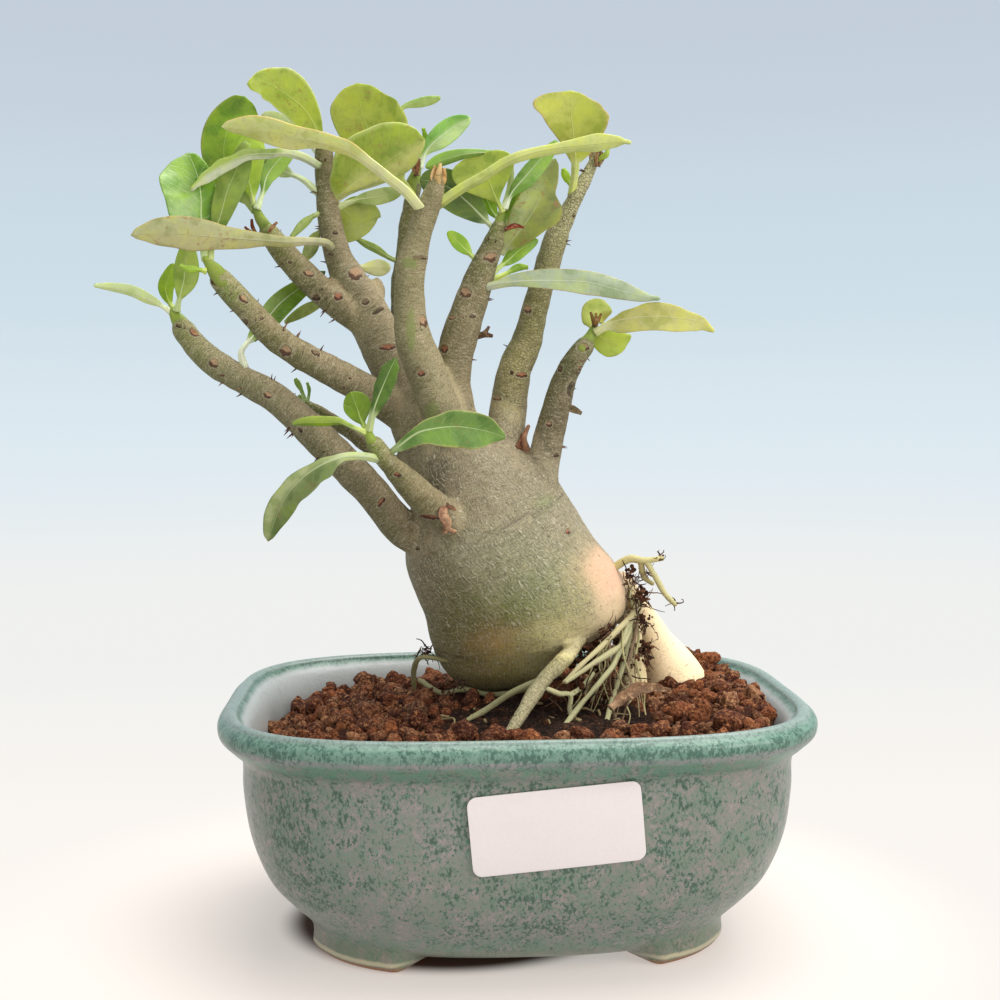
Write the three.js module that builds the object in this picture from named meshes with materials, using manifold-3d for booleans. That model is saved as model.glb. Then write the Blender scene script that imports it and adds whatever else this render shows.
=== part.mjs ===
// Potted desert rose: a swollen, leaning caudex with bare branches and leaf tufts in a glazed bonsai pot.
// Millimetres, +Z up, +X to the viewer's right, the viewer on the -Y side.
// The shapes are first laid out round the middle of the pot's footprint. The finished group is then
// shifted so that its origin is the middle of the whole part's footprint box, on the standing surface.
import * as THREE from 'three';
import Module from 'manifold-3d';

const wasm = await Module();
wasm.setup();

// ---- driving dimensions -------------------------------------------------------------------------
const SEAT_GAP = 0.3;          // clearance between two pieces that touch on the real plant
const SCRAP = 1.5;             // a cut-off body smaller than this (cubic mm) is dropped
const VIEWPOINT = new THREE.Vector3(-25.5, -384.7, 134.2); // where the plant was measured from

// Pot wall, outside: [height, half length, half depth, squareness], from the underside to the lip.
const POT_OUTSIDE = [
  [3.4, 46, 37, 2.7], [6, 51.5, 44, 2.8], [10.5, 55.6, 47.8, 3], [14.5, 59.2, 50.8, 3.1],
  [19.5, 62.6, 53.4, 3.3], [30, 66.3, 56.2, 3.5], [41, 67.8, 57.3, 3.5], [49, 68.1, 57.6, 3.5],
  [52.3, 71, 60.2, 3.5], [55, 73.3, 62.3, 3.5], [57.6, 73.4, 62.4, 3.5], [59.3, 71.6, 60.8, 3.5],
];
// Pot wall, inside: from the floor to above the lip.
const POT_INSIDE = [
  [7.8, 46, 38, 2.9], [12, 52, 44, 3], [20, 59.4, 50.2, 3.3], [31, 63, 53, 3.5], [50, 64.6, 54.3, 3.5],
  [56, 66.3, 56, 3.5], [60, 68.6, 58.2, 3.5],
];
const POT_SIDES = 32;
const ABOVE_SOIL = 75;         // upright cutting bodies end at these heights
const UNDER_SOIL = 30;
const FOOT_OUTSIDE = [[0, 51, 41.5, 2.8], [1.2, 52.8, 43.4, 2.8], [8, 53.2, 44.6, 2.8]];
const FOOT_INSIDE = [[-1, 40, 30, 2.8], [9, 40, 30, 2.8]];
const FOOT_GAP_X = 26;         // half of the open span between two feet along the pot
const FOOT_GAP_Y = 18;         // and across it
const DRAIN_RADIUS = 6;
const DRAIN_SIDES = 12;
const DRAIN_X = 24;            // the two drain holes stand this far either side of the middle

// Blank paper sticker on the pot's front.
const LABEL = { x: 6, z: 39.2, width: 39, height: 18.5, tilt: 5, corner: 2.2, thick: 0.6 };

const MIX_TOP = [47.5, 0.055];  // height of the mix under the granules at x = 0, and its rise per mm of x
const GRIT_EDGE = [63, 53, 3.5]; // half length, half depth and squareness of the layer of granules
const GRIT_SIDES = 24;
const GRANULES = 60;
const GRANULE_SIZE = [5.6, 8.4];
const GRANULE_SPACING = 9.6;
const GRANULE_MARGIN = 2.5;    // the granules' middles stay this far inside the edge
const BARE_MIX = { x: 4, y: -5, rx: 24, ry: 15 }; // dark mix shows here, below the front of the caudex

// Caudex: level slices [height, x, y, half width], and its depth as a share of its width.
const CAUDEX = [
  [55.5, -5, 19, 4], [57.5, -3.5, 18, 9], [62, -1.5, 16, 15.5], [67.5, -0.5, 14, 19.5], [72.5, 2, 13, 23.5],
  [78, 4, 12, 26.5], [84, 3, 11, 28], [91, 0.5, 10, 27.5], [98, -2.5, 9, 25], [106, -4.5, 8, 22],
  [112.5, -6, 7, 19.5], [118, -7, 6, 16.5], [122, -8, 5, 12.5], [124.5, -8, 5, 7.5],
];
const CAUDEX_DEPTH = 0.92;
const CAUDEX_SIDES = 20;

// Points of branches, roots and leaf ribs are [x, z, y]: x and z as they are seen from the viewpoint on the
// upright plane through the pot's middle, and y the true depth. Branches and roots add their radius.
const BRANCHES = {
  main_stem: [[-21, 127, 4, 9.7], [-25.5, 136, 4, 8], [-30.5, 145, 5, 6.5], [-34, 151.5, 6, 6],
    [-37.5, 159, 7, 5.5], [-40.5, 164.5, 7, 4.7], [-43.5, 170.5, 8, 3.8], [-45.5, 179, 9, 3.3],
    [-46.5, 188, 9, 3], [-47, 195, 9, 2.8], [-47, 197.5, 9, 2.6]],
  branch_low_left: [[-22.5, 97.5, 5, 6], [-29, 101.5, 1, 5.7], [-37, 111.5, -3, 5.2],
    [-45, 120.5, -5, 4.7], [-54, 130, -5, 4.2], [-60, 135.5, -4, 3.9], [-68, 140, -2, 3.7],
    [-76.5, 145.5, 0, 3.5], [-83, 153, 3, 3.1]],
  branch_mid_left: [[-24.5, 128.5, 2, 4.6], [-30, 132.5, 0, 4.4], [-38, 138, -4, 4.1],
    [-46.5, 142.5, -7, 3.8], [-54.5, 147, -9, 3.6], [-61.5, 152.5, -11, 3.4], [-67.5, 159, -13, 3.1],
    [-73.5, 165.5, -15, 2.7]],
  branch_upper_left: [[-35, 152, 6, 3.9], [-38.5, 155, 5.5, 3.9], [-44.5, 159.5, 4, 3.8],
    [-51, 165.5, 3, 3.5], [-57, 171.5, 2, 3.2], [-61, 177, 1, 2.7]],
  branch_behind: [[-26, 144, 10, 2.6], [-27.5, 149, 13, 2.4], [-28.5, 155, 15, 2.3],
    [-28.5, 163, 17, 2.1], [-27.5, 170.5, 19, 2.2], [-26.5, 178, 20, 2.3], [-25, 185.5, 21, 2.3],
    [-24.5, 189, 21, 2.3]],
  branch_front: [[-13.5, 123.5, -2, 5.9], [-16, 127, -4, 5.6], [-19, 135, -8, 5.1],
    [-22.5, 144, -10, 5], [-25, 150.5, -12, 4.6], [-26, 160, -13, 3.8], [-25.5, 168.5, -15, 3.7],
    [-23.5, 176, -16, 3.3], [-21, 183, -17, 2.9], [-19.5, 187, -18, 2.7], [-18.5, 190, -18, 2.2]],
  branch_middle: [[-12.5, 127, 0, 5.1], [-14.5, 135, -2, 4.8], [-15, 141, -2, 4.7],
    [-14, 147.5, -2, 4.7], [-12, 154.5, -2, 4.6], [-9, 163, -1, 4.1], [-6.5, 170, 0, 3.3],
    [-4, 175.5, 0, 2.8], [-3, 178.5, 0, 2.2]],
  branch_right: [[-3, 120.5, 2, 5.7], [-1.5, 127, 4, 5.2], [-0.5, 134.5, 5, 4.8], [1, 142.5, 5, 4.4],
    [4, 150, 6, 4], [6.5, 159, 6, 3.5], [9, 167.5, 7, 3.3], [11.5, 175.5, 7, 3.1], [14.5, 182, 8, 2.5],
    [17.5, 188, 8, 2], [20, 192.5, 8, 1.8], [22, 196.5, 8, 1.4]],
  branch_low_right: [[7.5, 113, 0, 4.6], [8, 118, -1, 4.2], [9.5, 124.5, -2, 4], [12, 134.5, -3, 3.6],
    [14, 140.5, -3, 3.2], [17, 146, -4, 2.7], [19, 148.5, -4, 2.4]],
  branch_short: [[-16, 104, -10, 4.5], [-20.5, 108, -13, 4.2], [-24, 111, -16, 3.9],
    [-28.5, 115.5, -20, 3.2], [-32.5, 120, -24, 2.4], [-35, 123.5, -25, 2.2]],
  twig: [[-24, 114, 0, 2.2], [-28.5, 117.5, 4, 2.1], [-32.5, 120.5, 8, 2.1], [-36, 122.5, 10, 2.1],
    [-40, 125.5, 11, 2], [-44, 128.5, 12, 2], [-49, 132, 13, 1.7], [-52, 133.5, 14, 1.5]],
  stub: [[-35.5, 158, 8, 2.4], [-33.5, 162.5, 9, 1.8], [-34, 165, 9, 1.3]],
};
const ROOTS = {
  main: [[20, 74.5, -2, 2.6], [16.5, 69.5, -8, 2.2], [12, 66, -14, 2.3], [8.5, 62.5, -18, 2.3],
    [5, 57.5, -23, 2.1],
    [1.5, 52, -28, 1.8], [-3, 45.5, -34, 1.2]],
  thin_left: [[8.5, 62.5, -16, 0.9], [0, 59, -14, 0.9], [-7, 54.5, -12, 0.9], [-14.5, 50.5, -14, 0.7]],
  floor: [[-24, 62.5, 18, 0.8], [-18, 59, 12, 0.8], [-13, 60, 10, 0.9], [-6, 58.5, 7, 0.9],
    [2.5, 59.5, -3, 0.8],
    [9, 62.5, -16, 0.8]],
  left: [[-15, 67, 6, 0.9], [-23.5, 68.5, 3, 0.9], [-25.5, 65.5, 8, 0.9], [-25.5, 60.5, 13, 0.8]],
  bunch_1: [[27, 85, 12, 1.6], [33, 82.5, 9, 1.3], [31.5, 79, 4, 1.2], [28, 75.5, -4, 1],
    [23, 70.5, -10, 0.9], [18, 66, -15, 0.8],
    [13.5, 61.5, -17.5, 0.8]],
  bunch_2: [[31.5, 79, 4, 0.9], [29, 71.5, -5, 1], [25.5, 69, -9, 1], [21.5, 66.5, -13, 0.9],
    [14, 61.5, -18, 0.8]],
  bunch_3: [[30, 76, -1, 0.9], [26.5, 66, -10, 0.9], [23, 61.5, -14, 0.9], [17, 54.5, -17, 0.8],
    [12.5, 48.5, -23, 0.7]],
  bunch_4: [[31, 76, 2, 0.9], [28.5, 64.5, -6, 0.9], [27, 59.5, -9, 0.9], [25.5, 54.5, -14, 0.8],
    [24, 48.5, -20, 0.7]],
  fork_1: [[7.5, 60.5, -20, 0.8], [12, 58.5, -17, 0.8], [15, 58, -15, 0.8], [15, 53.5, -15, 0.7],
    [18, 49, -20, 0.7]],
  fork_2: [[15, 58, -15, 0.8], [18, 60, -12, 0.7], [21, 63.5, -10, 0.7]],
  air_1: [[23, 89, 6, 1.1], [28.5, 92.5, 4, 1.2], [31, 93.5, 3, 1.2], [34.5, 93, 2, 1], [39, 93.5, 2, 0.8]],
  air_2: [[35, 92.6, 2, 0.9], [38, 87.5, 1, 0.9], [40, 84, 0, 0.8], [42.5, 81.5, -1, 0.7]],
  air_3: [[33.5, 92.6, 2.5, 0.8], [34.5, 88.5, 4, 0.8], [36.5, 87, 4, 0.7]],
  stout_1: [[29, 88, 12, 2.4], [34, 78.5, 17, 3.4], [37.5, 71.5, 19, 4.9], [40.5, 65, 20, 6.5],
    [43.5, 57.5, 21, 8.3],
    [45, 52, 22, 9.2]],
  stout_2: [[25, 81, 10, 2.2], [31, 76, 9, 2.2], [31.5, 69, 8, 2.6], [31.5, 62, 6, 3.2], [31, 54, 4, 3.6]],
};
const SHOOT_TIPS = {
  low_left: [[-82, 152, 3, 2.8], [-84, 155, 4, 2.7], [-85.5, 157.5, 4, 2.1]],
  mid_left: [[-72.5, 164.5, -15, 2.6], [-75, 168, -16, 2.5], [-77, 170.5, -16, 1.8]],
  upper_left: [[-60, 175.5, 1, 2.6], [-62.5, 179.5, 0.5, 2.3], [-64.5, 183.5, 0, 1.7]],
  behind: [[-25, 187.5, 21, 2.2], [-24, 191.5, 21, 2.2], [-23, 194.5, 21, 1.5]],
  middle: [[-3.5, 177, 0, 2.2], [-2.5, 180.5, 0, 1.9], [-2, 183.5, 0, 1.5]],
  low_right: [[18, 147.5, -4, 2.4], [20.5, 151, -4, 2], [21.5, 153.5, -4, 1.4]],
  short: [[-34.5, 122.5, -24.5, 2], [-36, 125, -26, 1.8], [-37, 127.5, -26, 1.3]],
  twig: [[-51, 133, 14, 1.3], [-52.5, 134, 14, 1.2], [-54, 136, 14, 0.8]],
};
const LEAVES = [
  { node: 'tuft_low_left', rib: [[-85.5, 157, 4], [-88.5, 159, 3], [-91.5, 160.5, 1],
    [-95.5, 162.5, -1], [-100.5, 163.5, -3], [-105, 164, -5]],
    left: 1.3, right: 1.5, belly: 0.45, stalk: 0.15, turn: 35, fold: 0 },
  { node: 'tuft_low_left', rib: [[-85, 157.5, 5], [-86.5, 160.5, 6], [-87, 163.5, 7], [-86, 166.5, 7],
    [-85, 169.5, 7]],
    left: 2.1, right: 2.3, belly: 0.5, stalk: 0.12, turn: 10, fold: 20 },
  { node: 'tuft_low_left', rib: [[-84.5, 157.5, 3], [-83.5, 161.5, 2], [-82.5, 165.5, 1],
    [-82, 170, -1], [-81.5, 175.5, -3]],
    left: 2.8, right: 3.6, belly: 0.55, stalk: 0.15, turn: 0, fold: 15 },
  { node: 'tuft_mid_left', rib: [[-77, 170, -16], [-77.5, 175.5, -15], [-78, 181, -14],
    [-78, 186.5, -13], [-79, 192, -12], [-81, 197, -11]],
    left: 9.2, right: 3.7, belly: 0.62, stalk: 0.12, turn: -12, fold: 10 },
  { node: 'tuft_mid_left', rib: [[-76, 170, -16], [-75, 175.5, -15], [-73, 181.5, -14],
    [-71, 188, -12.5], [-68.5, 193.5, -11], [-66.5, 200, -9]],
    left: 3.2, right: 3.5, belly: 0.55, stalk: 0.15, turn: 20, fold: 20 },
  { node: 'tuft_mid_left', rib: [[-77, 167.5, -17], [-79.5, 168, -18.5], [-81.5, 168, -19],
    [-83.5, 169, -18.5]],
    left: 0.9, right: 0.9, belly: 0.5, stalk: 0.1, turn: 0, fold: 0 },
  { node: 'tuft_upper_left', rib: [[-64.5, 182.5, 1], [-67.5, 186.5, 3], [-70.5, 191, 5],
    [-72, 197, 6], [-71, 202.5, 7], [-68.5, 207, 8], [-66.5, 211, 8]],
    left: 5.7, right: 5.5, belly: 0.6, stalk: 0.1, turn: 10, fold: 10 },
  { node: 'tuft_upper_left', rib: [[-64.5, 183, 0], [-65.5, 188, 0], [-66.5, 193, 0],
    [-65.5, 199, 0.5], [-64, 203, 1]],
    left: 3.3, right: 4.4, belly: 0.55, stalk: 0.1, turn: 0, fold: 10 },
  { node: 'tuft_upper_left', rib: [[-64, 183, -1], [-62.5, 187, 0], [-61.5, 191, 0.5], [-59.5, 194, 1],
    [-57, 196.5, 1.5], [-53.5, 198.5, 2]],
    left: 2.1, right: 2.8, belly: 0.55, stalk: 0.15, turn: 0, fold: 15 },
  { node: 'tuft_behind', rib: [[-25, 186, 19], [-28, 190, 17], [-31.5, 195, 16], [-35, 201, 15],
    [-37.5, 207.5, 14], [-38.5, 214.5, 12]],
    left: 8.8, right: 9.6, belly: 0.62, stalk: 0.2, turn: 0, fold: 5 },
  { node: 'tuft_behind', rib: [[-23.5, 193.5, 22], [-27, 198.5, 23], [-29, 204, 24],
    [-27, 208.5, 24.5], [-22.5, 210, 24.5], [-17.5, 211, 24]],
    left: 1.1, right: 1.6, belly: 0.7, stalk: 0.45, turn: 0, fold: 0 },
  { node: 'tuft_behind', rib: [[-23, 193.5, 21], [-21, 198, 21], [-18, 201, 20], [-14, 204, 20],
    [-10, 206, 19]],
    left: 3, right: 3.2, belly: 0.55, stalk: 0.12, turn: 0, fold: 20 },
  { node: 'tuft_behind', rib: [[-23, 194, 22], [-22, 198, 23], [-21.5, 201, 23], [-22, 203.5, 22]],
    left: 0.8, right: 0.8, belly: 0.5, stalk: 0.2, turn: 0, fold: 0 },
  { node: 'tuft_middle', rib: [[-2, 182.5, -1], [-3.5, 185.5, -2], [-5.5, 190.5, -3], [-7.5, 197.5, -3]],
    left: 8.7, right: 7.6, belly: 0.78, stalk: 0.12, turn: 0, fold: 8 },
  { node: 'tuft_middle', rib: [[-1.5, 183, 2], [0, 189, 4], [0, 194.5, 3], [-3, 197, -1],
    [-11, 197, -5], [-17, 195.5, -6], [-21.5, 193.5, -7]],
    left: 1.5, right: 1.8, belly: 0.7, stalk: 0.4, turn: 0, fold: 0 },
  { node: 'tuft_middle', rib: [[-1.5, 183.5, -1], [0.5, 187.5, -3], [3.5, 191, -5], [7.5, 195.5, -6],
    [12, 200.5, -6]],
    left: 2, right: 2.8, belly: 0.55, stalk: 0.12, turn: 0, fold: 15 },
  { node: 'tuft_middle', rib: [[-3.5, 177.5, 1], [-7, 181, 2], [-11, 185, 2], [-15.5, 188.5, 1],
    [-19.5, 190, 0], [-23, 190.5, 0]],
    left: 5.1, right: 4.6, belly: 0.5, stalk: 0.12, turn: 0, fold: 12 },
  { node: 'tuft_middle', rib: [[-2.5, 180, 2], [-4.5, 182.5, 4], [-6, 185.5, 5], [-7.5, 188.5, 5]],
    left: 1.6, right: 1.8, belly: 0.5, stalk: 0.1, turn: 0, fold: 10 },
  { node: 'tuft_middle', rib: [[-2.5, 178, 2], [0, 181.5, 4], [2, 186, 5], [4.5, 191, 5]],
    left: 2.1, right: 2.1, belly: 0.5, stalk: 0.1, turn: 0, fold: 10 },
  { node: 'tuft_low_right', rib: [[21.5, 152, -5], [26, 154.5, -7], [30.5, 155.5, -9], [37, 156, -11],
    [43.5, 155.5, -12], [49, 154.5, -12], [52.5, 152, -12]],
    left: 3.5, right: 3.3, belly: 0.5, stalk: 0.1, turn: 0, fold: 8 },
  { node: 'tuft_low_right', rib: [[21.5, 152.5, -3], [21, 155, 0], [22.5, 157, 2], [26, 157.5, 3]],
    left: 2.1, right: 1.5, belly: 0.5, stalk: 0.1, turn: 0, fold: 0 },
  { node: 'tuft_low_right', rib: [[21.5, 152.5, -3], [23.5, 150.5, 0], [26, 150, 1], [31, 151, 2]],
    left: 1.3, right: 1.8, belly: 0.5, stalk: 0.1, turn: 0, fold: 0 },
  { node: 'tuft_short', rib: [[-37, 126.5, -26], [-40.5, 128, -28], [-44, 129.5, -29],
    [-47.5, 129.5, -29], [-52, 129.5, -29], [-56, 129, -28]],
    left: 1.1, right: 1.3, belly: 0.6, stalk: 0.15, turn: 35, fold: 0 },
  { node: 'tuft_short', rib: [[-37, 127, -26], [-38.5, 130, -26], [-39.5, 133, -25], [-41, 137, -24]],
    left: 3.1, right: 3.6, belly: 0.6, stalk: 0.15, turn: 0, fold: 8 },
  { node: 'tuft_short', rib: [[-36.5, 127, -26.5], [-35, 133, -28], [-33, 138, -27], [-31, 142.5, -26],
    [-29.5, 145.5, -25]],
    left: 2.1, right: 2.4, belly: 0.62, stalk: 0.15, turn: 0, fold: 12 },
  { node: 'tuft_twig', rib: [[-52.5, 134.5, 13.5], [-53.5, 137.5, 13], [-54.5, 139.5, 13],
    [-55, 140.5, 13]],
    left: 0.8, right: 0.8, belly: 0.5, stalk: 0.2, turn: 0, fold: 0 },
  { node: 'tuft_twig', rib: [[-52, 134, 14], [-51.5, 137.5, 14.5], [-52, 139.5, 14.5]],
    left: 0.5, right: 0.5, belly: 0.5, stalk: 0.2, turn: 0, fold: 0 },
  { node: 'leaf_middle_1', rib: [[-2.5, 172, 0], [0.5, 175.5, -2], [4, 180, -3], [7, 185, -3],
    [9, 190.5, -2], [11.5, 196, -1]],
    left: 4.6, right: 6.1, belly: 0.6, stalk: 0.08, turn: 0, fold: -10 },
  { node: 'leaf_middle_2', rib: [[-8, 169.5, 0], [-11, 172.5, 0], [-13.5, 175, 0], [-16, 177.5, 0]],
    left: 1.8, right: 2.1, belly: 0.5, stalk: 0.2, turn: 0, fold: 18 },
  { node: 'leaf_middle_3', rib: [[-5, 167, 1], [-1, 170, 3], [2.5, 173, 4], [7, 175.5, 5]],
    left: 2.1, right: 2.1, belly: 0.5, stalk: 0.2, turn: 0, fold: 12 },
  { node: 'leaf_middle_4', rib: [[-5.5, 165, 2], [-1, 167, 5], [2, 168.5, 6.5], [4.5, 168.5, 7]],
    left: 1, right: 1, belly: 0.5, stalk: 0.3, turn: 0, fold: 0 },
  { node: 'leaf_middle_5', rib: [[-6.5, 163.5, -3], [-1.5, 164.5, -6], [5, 165, -8], [12.5, 165, -9],
    [20.5, 164.5, -10], [28, 162.5, -11], [34.5, 161, -12], [38.5, 160.5, -12]],
    left: 3, right: 2.8, belly: 0.58, stalk: 0.1, turn: 15, fold: 12 },
  { node: 'leaf_front_1', rib: [[-22, 182, -17.5], [-26.5, 187.5, -20], [-31, 191, -20],
    [-35.5, 194.5, -19.5], [-41, 198, -19], [-47.5, 200, -18], [-55.5, 201.5, -17], [-64, 203, -16],
    [-72.5, 203.5, -15]],
    left: 2.9, right: 2.8, belly: 0.68, stalk: 0.38, turn: 50, fold: 0 },
  { node: 'leaf_front_2', rib: [[-19, 184, -17.5], [-12.5, 188.5, -18.5], [-7, 191.5, -18.5],
    [-1.5, 195, -18], [5, 197.5, -17], [12.5, 199, -16], [21.5, 200, -15], [27.5, 200.5, -14],
    [31, 200, -14]],
    left: 2, right: 2, belly: 0.6, stalk: 0.4, turn: -45, fold: 0 },
  { node: 'leaf_stem_1', rib: [[-47.5, 197, 9], [-48.5, 202, 7], [-51.5, 207.5, 4], [-57, 212, 0],
    [-62, 214.5, -3], [-66, 214, -5]],
    left: 4.1, right: 5.4, belly: 0.6, stalk: 0.12, turn: 0, fold: 5 },
  { node: 'leaf_stem_2', rib: [[-45, 185, 9], [-42, 187.5, 5], [-37.5, 191, 3], [-32, 194.5, 1],
    [-26.5, 198, 0], [-21.5, 200.5, -1]],
    left: 9.8, right: 3.9, belly: 0.5, stalk: 0.06, turn: 0, fold: -8 },
  { node: 'leaf_stem_3', rib: [[-48, 193.5, 8], [-52.5, 196, -3], [-56.5, 197, -8], [-60.5, 197, -11],
    [-66.5, 196.5, -14], [-72.5, 194, -15], [-77, 191, -16], [-80.5, 187.5, -17]],
    left: 1.5, right: 1.5, belly: 0.5, stalk: 0.3, turn: 20, fold: 15 },
  { node: 'leaf_stem_4', rib: [[-45, 172.5, 8], [-46.5, 174.5, 1], [-50.5, 175, -5], [-57, 175, -9],
    [-64.5, 175.5, -14], [-72, 176, -19], [-78.5, 176.5, -22], [-84.5, 177, -24], [-90.5, 177, -25],
    [-95.5, 176.5, -26]],
    left: 3.8, right: 4.2, belly: 0.68, stalk: 0.25, turn: 15, fold: 0 },
  { node: 'leaf_stem_5', rib: [[-48, 186.5, 9], [-52.5, 190.5, 7], [-56, 192, 6.5], [-59.5, 194, 6.5],
    [-62, 197, 6.5]],
    left: 2.1, right: 2.1, belly: 0.5, stalk: 0.4, turn: 0, fold: 10 },
  { node: 'leaf_stem_6', rib: [[-47, 182.5, 8.5], [-50.5, 181, 6], [-53, 179, 4], [-55.5, 176, 2]],
    left: 1.3, right: 1, belly: 0.5, stalk: 0.2, turn: 0, fold: 0 },
  { node: 'leaf_stem_7', rib: [[-46.5, 179.5, 10], [-49, 176.5, 10.5], [-50.5, 173, 10.5],
    [-52.5, 170, 10]],
    left: 1.6, right: 2.1, belly: 0.5, stalk: 0.2, turn: 0, fold: 0 },
  { node: 'leaf_stem_8', rib: [[-44, 184, 10], [-41, 181.5, 14], [-40, 178.5, 15.5], [-38.5, 175.5, 16]],
    left: 7.7, right: 1.3, belly: 0.5, stalk: 0.05, turn: 0, fold: 5 },
  { node: 'leaf_stem_9', rib: [[-41, 169, 10], [-37, 168.5, 14], [-33.5, 168.5, 15], [-30.5, 168.5, 15]],
    left: 2.1, right: 2.4, belly: 0.6, stalk: 0.15, turn: 0, fold: 0 },
  { node: 'leaf_behind_1', rib: [[-27.5, 169.5, 19], [-31, 171, 18], [-34, 173, 18], [-37, 174.5, 18],
    [-39.5, 176, 18]],
    left: 1.1, right: 1.1, belly: 0.5, stalk: 0.15, turn: 0, fold: 0 },
  { node: 'leaf_stem_10', rib: [[-44, 185.5, 8.5], [-40, 187.5, 7.5], [-36, 189, 7], [-31.5, 190.5, 7],
    [-28.5, 191.5, 7]],
    left: 0.8, right: 0.8, belly: 0.5, stalk: 0.2, turn: 0, fold: 0 },
  { node: 'leaf_stem_11', rib: [[-44, 183.5, 8.5], [-38.5, 185.5, 9.5], [-34.5, 186, 10],
    [-30, 187, 10.5], [-27.5, 187.5, 10.5]],
    left: 2.1, right: 2.1, belly: 0.5, stalk: 0.15, turn: 0, fold: 12 },
  { node: 'leaf_stem_12', rib: [[-48, 196.5, 10], [-51.5, 200, 13], [-55.5, 202.5, 13], [-59, 205, 13],
    [-62.5, 206.5, 12]],
    left: 3.2, right: 2.4, belly: 0.6, stalk: 0.15, turn: 0, fold: 10 },
  { node: 'leaf_low_left_1', rib: [[-67.5, 143, -3], [-68.5, 147, -2], [-66.5, 150, 0], [-63, 154, 3],
    [-59, 159, 6], [-54, 163, 9], [-47, 167.5, 11]],
    left: 2.8, right: 3.4, belly: 0.5, stalk: 0.3, turn: 0, fold: 18 },
  { node: 'leaf_upper_left_1', rib: [[-44.5, 160, 6], [-49, 159, 10.5], [-53, 157, 12],
    [-57.5, 154.5, 12]],
    left: 1.3, right: 1.8, belly: 0.5, stalk: 0.15, turn: 0, fold: 0 },
  { node: 'leaf_short_1', rib: [[-32, 120.5, -22], [-29, 123, -26.5], [-24, 126.5, -27.5],
    [-20, 127.5, -27], [-14.5, 128, -26], [-10, 127.5, -25], [-5.5, 126.5, -24], [-1.5, 125, -23]],
    left: 4.1, right: 5, belly: 0.6, stalk: 0.1, turn: 0, fold: 10 },
  { node: 'leaf_short_2', rib: [[-33, 119.5, -24], [-37.5, 120.5, -28.5], [-42.5, 120.5, -30],
    [-47.5, 119, -31], [-52.5, 116, -31], [-57, 111.5, -30], [-60, 106, -28], [-62.5, 99, -25]],
    left: 3.6, right: 3.6, belly: 0.6, stalk: 0.3, turn: 0, fold: 12 },
  { node: 'leaf_right_1', rib: [[15.5, 186.5, 8], [16.5, 192.5, 4], [16.5, 198, 1], [16, 203, -2],
    [15.5, 208, -4], [15.5, 213, -5]],
    left: 10.3, right: 9.8, belly: 0.78, stalk: 0.28, turn: 0, fold: 5 },
  { node: 'leaf_right_2', rib: [[17, 187.5, 9], [15, 190, 11], [14, 192, 11], [13.5, 193.5, 11]],
    left: 1.1, right: 1.1, belly: 0.5, stalk: 0.2, turn: 0, fold: 0 },
  { node: 'leaf_right_3', rib: [[21.5, 195, 8], [23, 196, 6], [24.5, 197, 5], [25, 198.5, 5]],
    left: 0.8, right: 0.8, belly: 0.5, stalk: 0.2, turn: 0, fold: 0 },
];
// Dry leaf curled up on the granules.
const DRY_LEAF = {
  rib: [[25.5, 53.6, -24], [30, 56.4, -21], [35.5, 59.1, -17], [41, 57.8, -15]],
  left: 2.6, right: 3.4, belly: 0.5, stalk: 0.1, turn: 35, fold: 25,
};

// ---- helpers ------------------------------------------------------------------------------------
const smooth = THREE.MathUtils.smoothstep;
const radians = THREE.MathUtils.degToRad;

// Real place of a point that is seen at (x, z) on the plane y = 0 and stands at depth y.
function seen([x, z, y]) {
  const onPlane = new THREE.Vector3(x, 0, z);
  return onPlane.sub(VIEWPOINT).multiplyScalar((y - VIEWPOINT.y) / -VIEWPOINT.y).add(VIEWPOINT);
}

// Height of the granules' surface: a low mound round the caudex, lower at the left end of the pot.
function soilHeight(x, y) {
  const mound = 5.5 * Math.exp(-((x - 2) ** 2 + (y - 18) ** 2) / 1458);
  const backCorner = 3 * smooth(x, 30, 50) * smooth(y, 20, 40);
  return 53 + 0.03 * x + mound + backCorner - 6 * smooth(-x, 50, 66);
}

const mixTop = (x) => MIX_TOP[0] + MIX_TOP[1] * x;

// Seeded random numbers from 0 to 1.
function randomNumbers(seed) {
  let state = seed;
  return () => {
    state = (state * 1664525 + 1013904223) >>> 0;
    return state / 4294967296;
  };
}

// Closed solid through rings of equal point counts. swapped[j] turns the diagonal of column j.
function loft(rings, swapped = [], fanCaps = true) {
  const count = rings[0].length;
  const triangles = [];
  for (let i = 0; i < rings.length - 1; i += 1) {
    for (let j = 0; j < count; j += 1) {
      const a = i * count + j;
      const b = i * count + ((j + 1) % count);
      const c = a + count;
      const d = b + count;
      triangles.push(...(swapped[j] ? [a, b, c, b, d, c] : [a, b, d, a, d, c]));
    }
  }
  const last = (rings.length - 1) * count;
  for (let j = 1; j < count - 1; j += 1) {
    if (fanCaps) triangles.push(0, j + 1, j, last, last + j, last + j + 1);
  }
  for (let j = 0; !fanCaps && j < count / 2 - 1; j += 1) {
    const far = count - 1 - j;
    triangles.push(j, far, j + 1, j + 1, far, far - 1);
    triangles.push(last + j, last + j + 1, last + far, last + j + 1, last + far - 1, last + far);
  }
  return solid(rings.flat(), triangles);
}

// Solid of a closed triangle mesh, turned the right way out.
function solid(points, triangles) {
  const at = (k) => points[k];
  let volume = 0;
  for (let k = 0; k < triangles.length; k += 3) {
    const [a, b, c] = [at(triangles[k]), at(triangles[k + 1]), at(triangles[k + 2])];
    volume += a.dot(b.clone().cross(c));
  }
  const order = volume > 0 ? triangles : triangles.slice().reverse();
  const vertProperties = new Float32Array(points.flatMap((p) => [p.x, p.y, p.z]));
  return new wasm.Manifold(new wasm.Mesh({ numProp: 3, vertProperties, triVerts: new Uint32Array(order) }));
}

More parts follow.
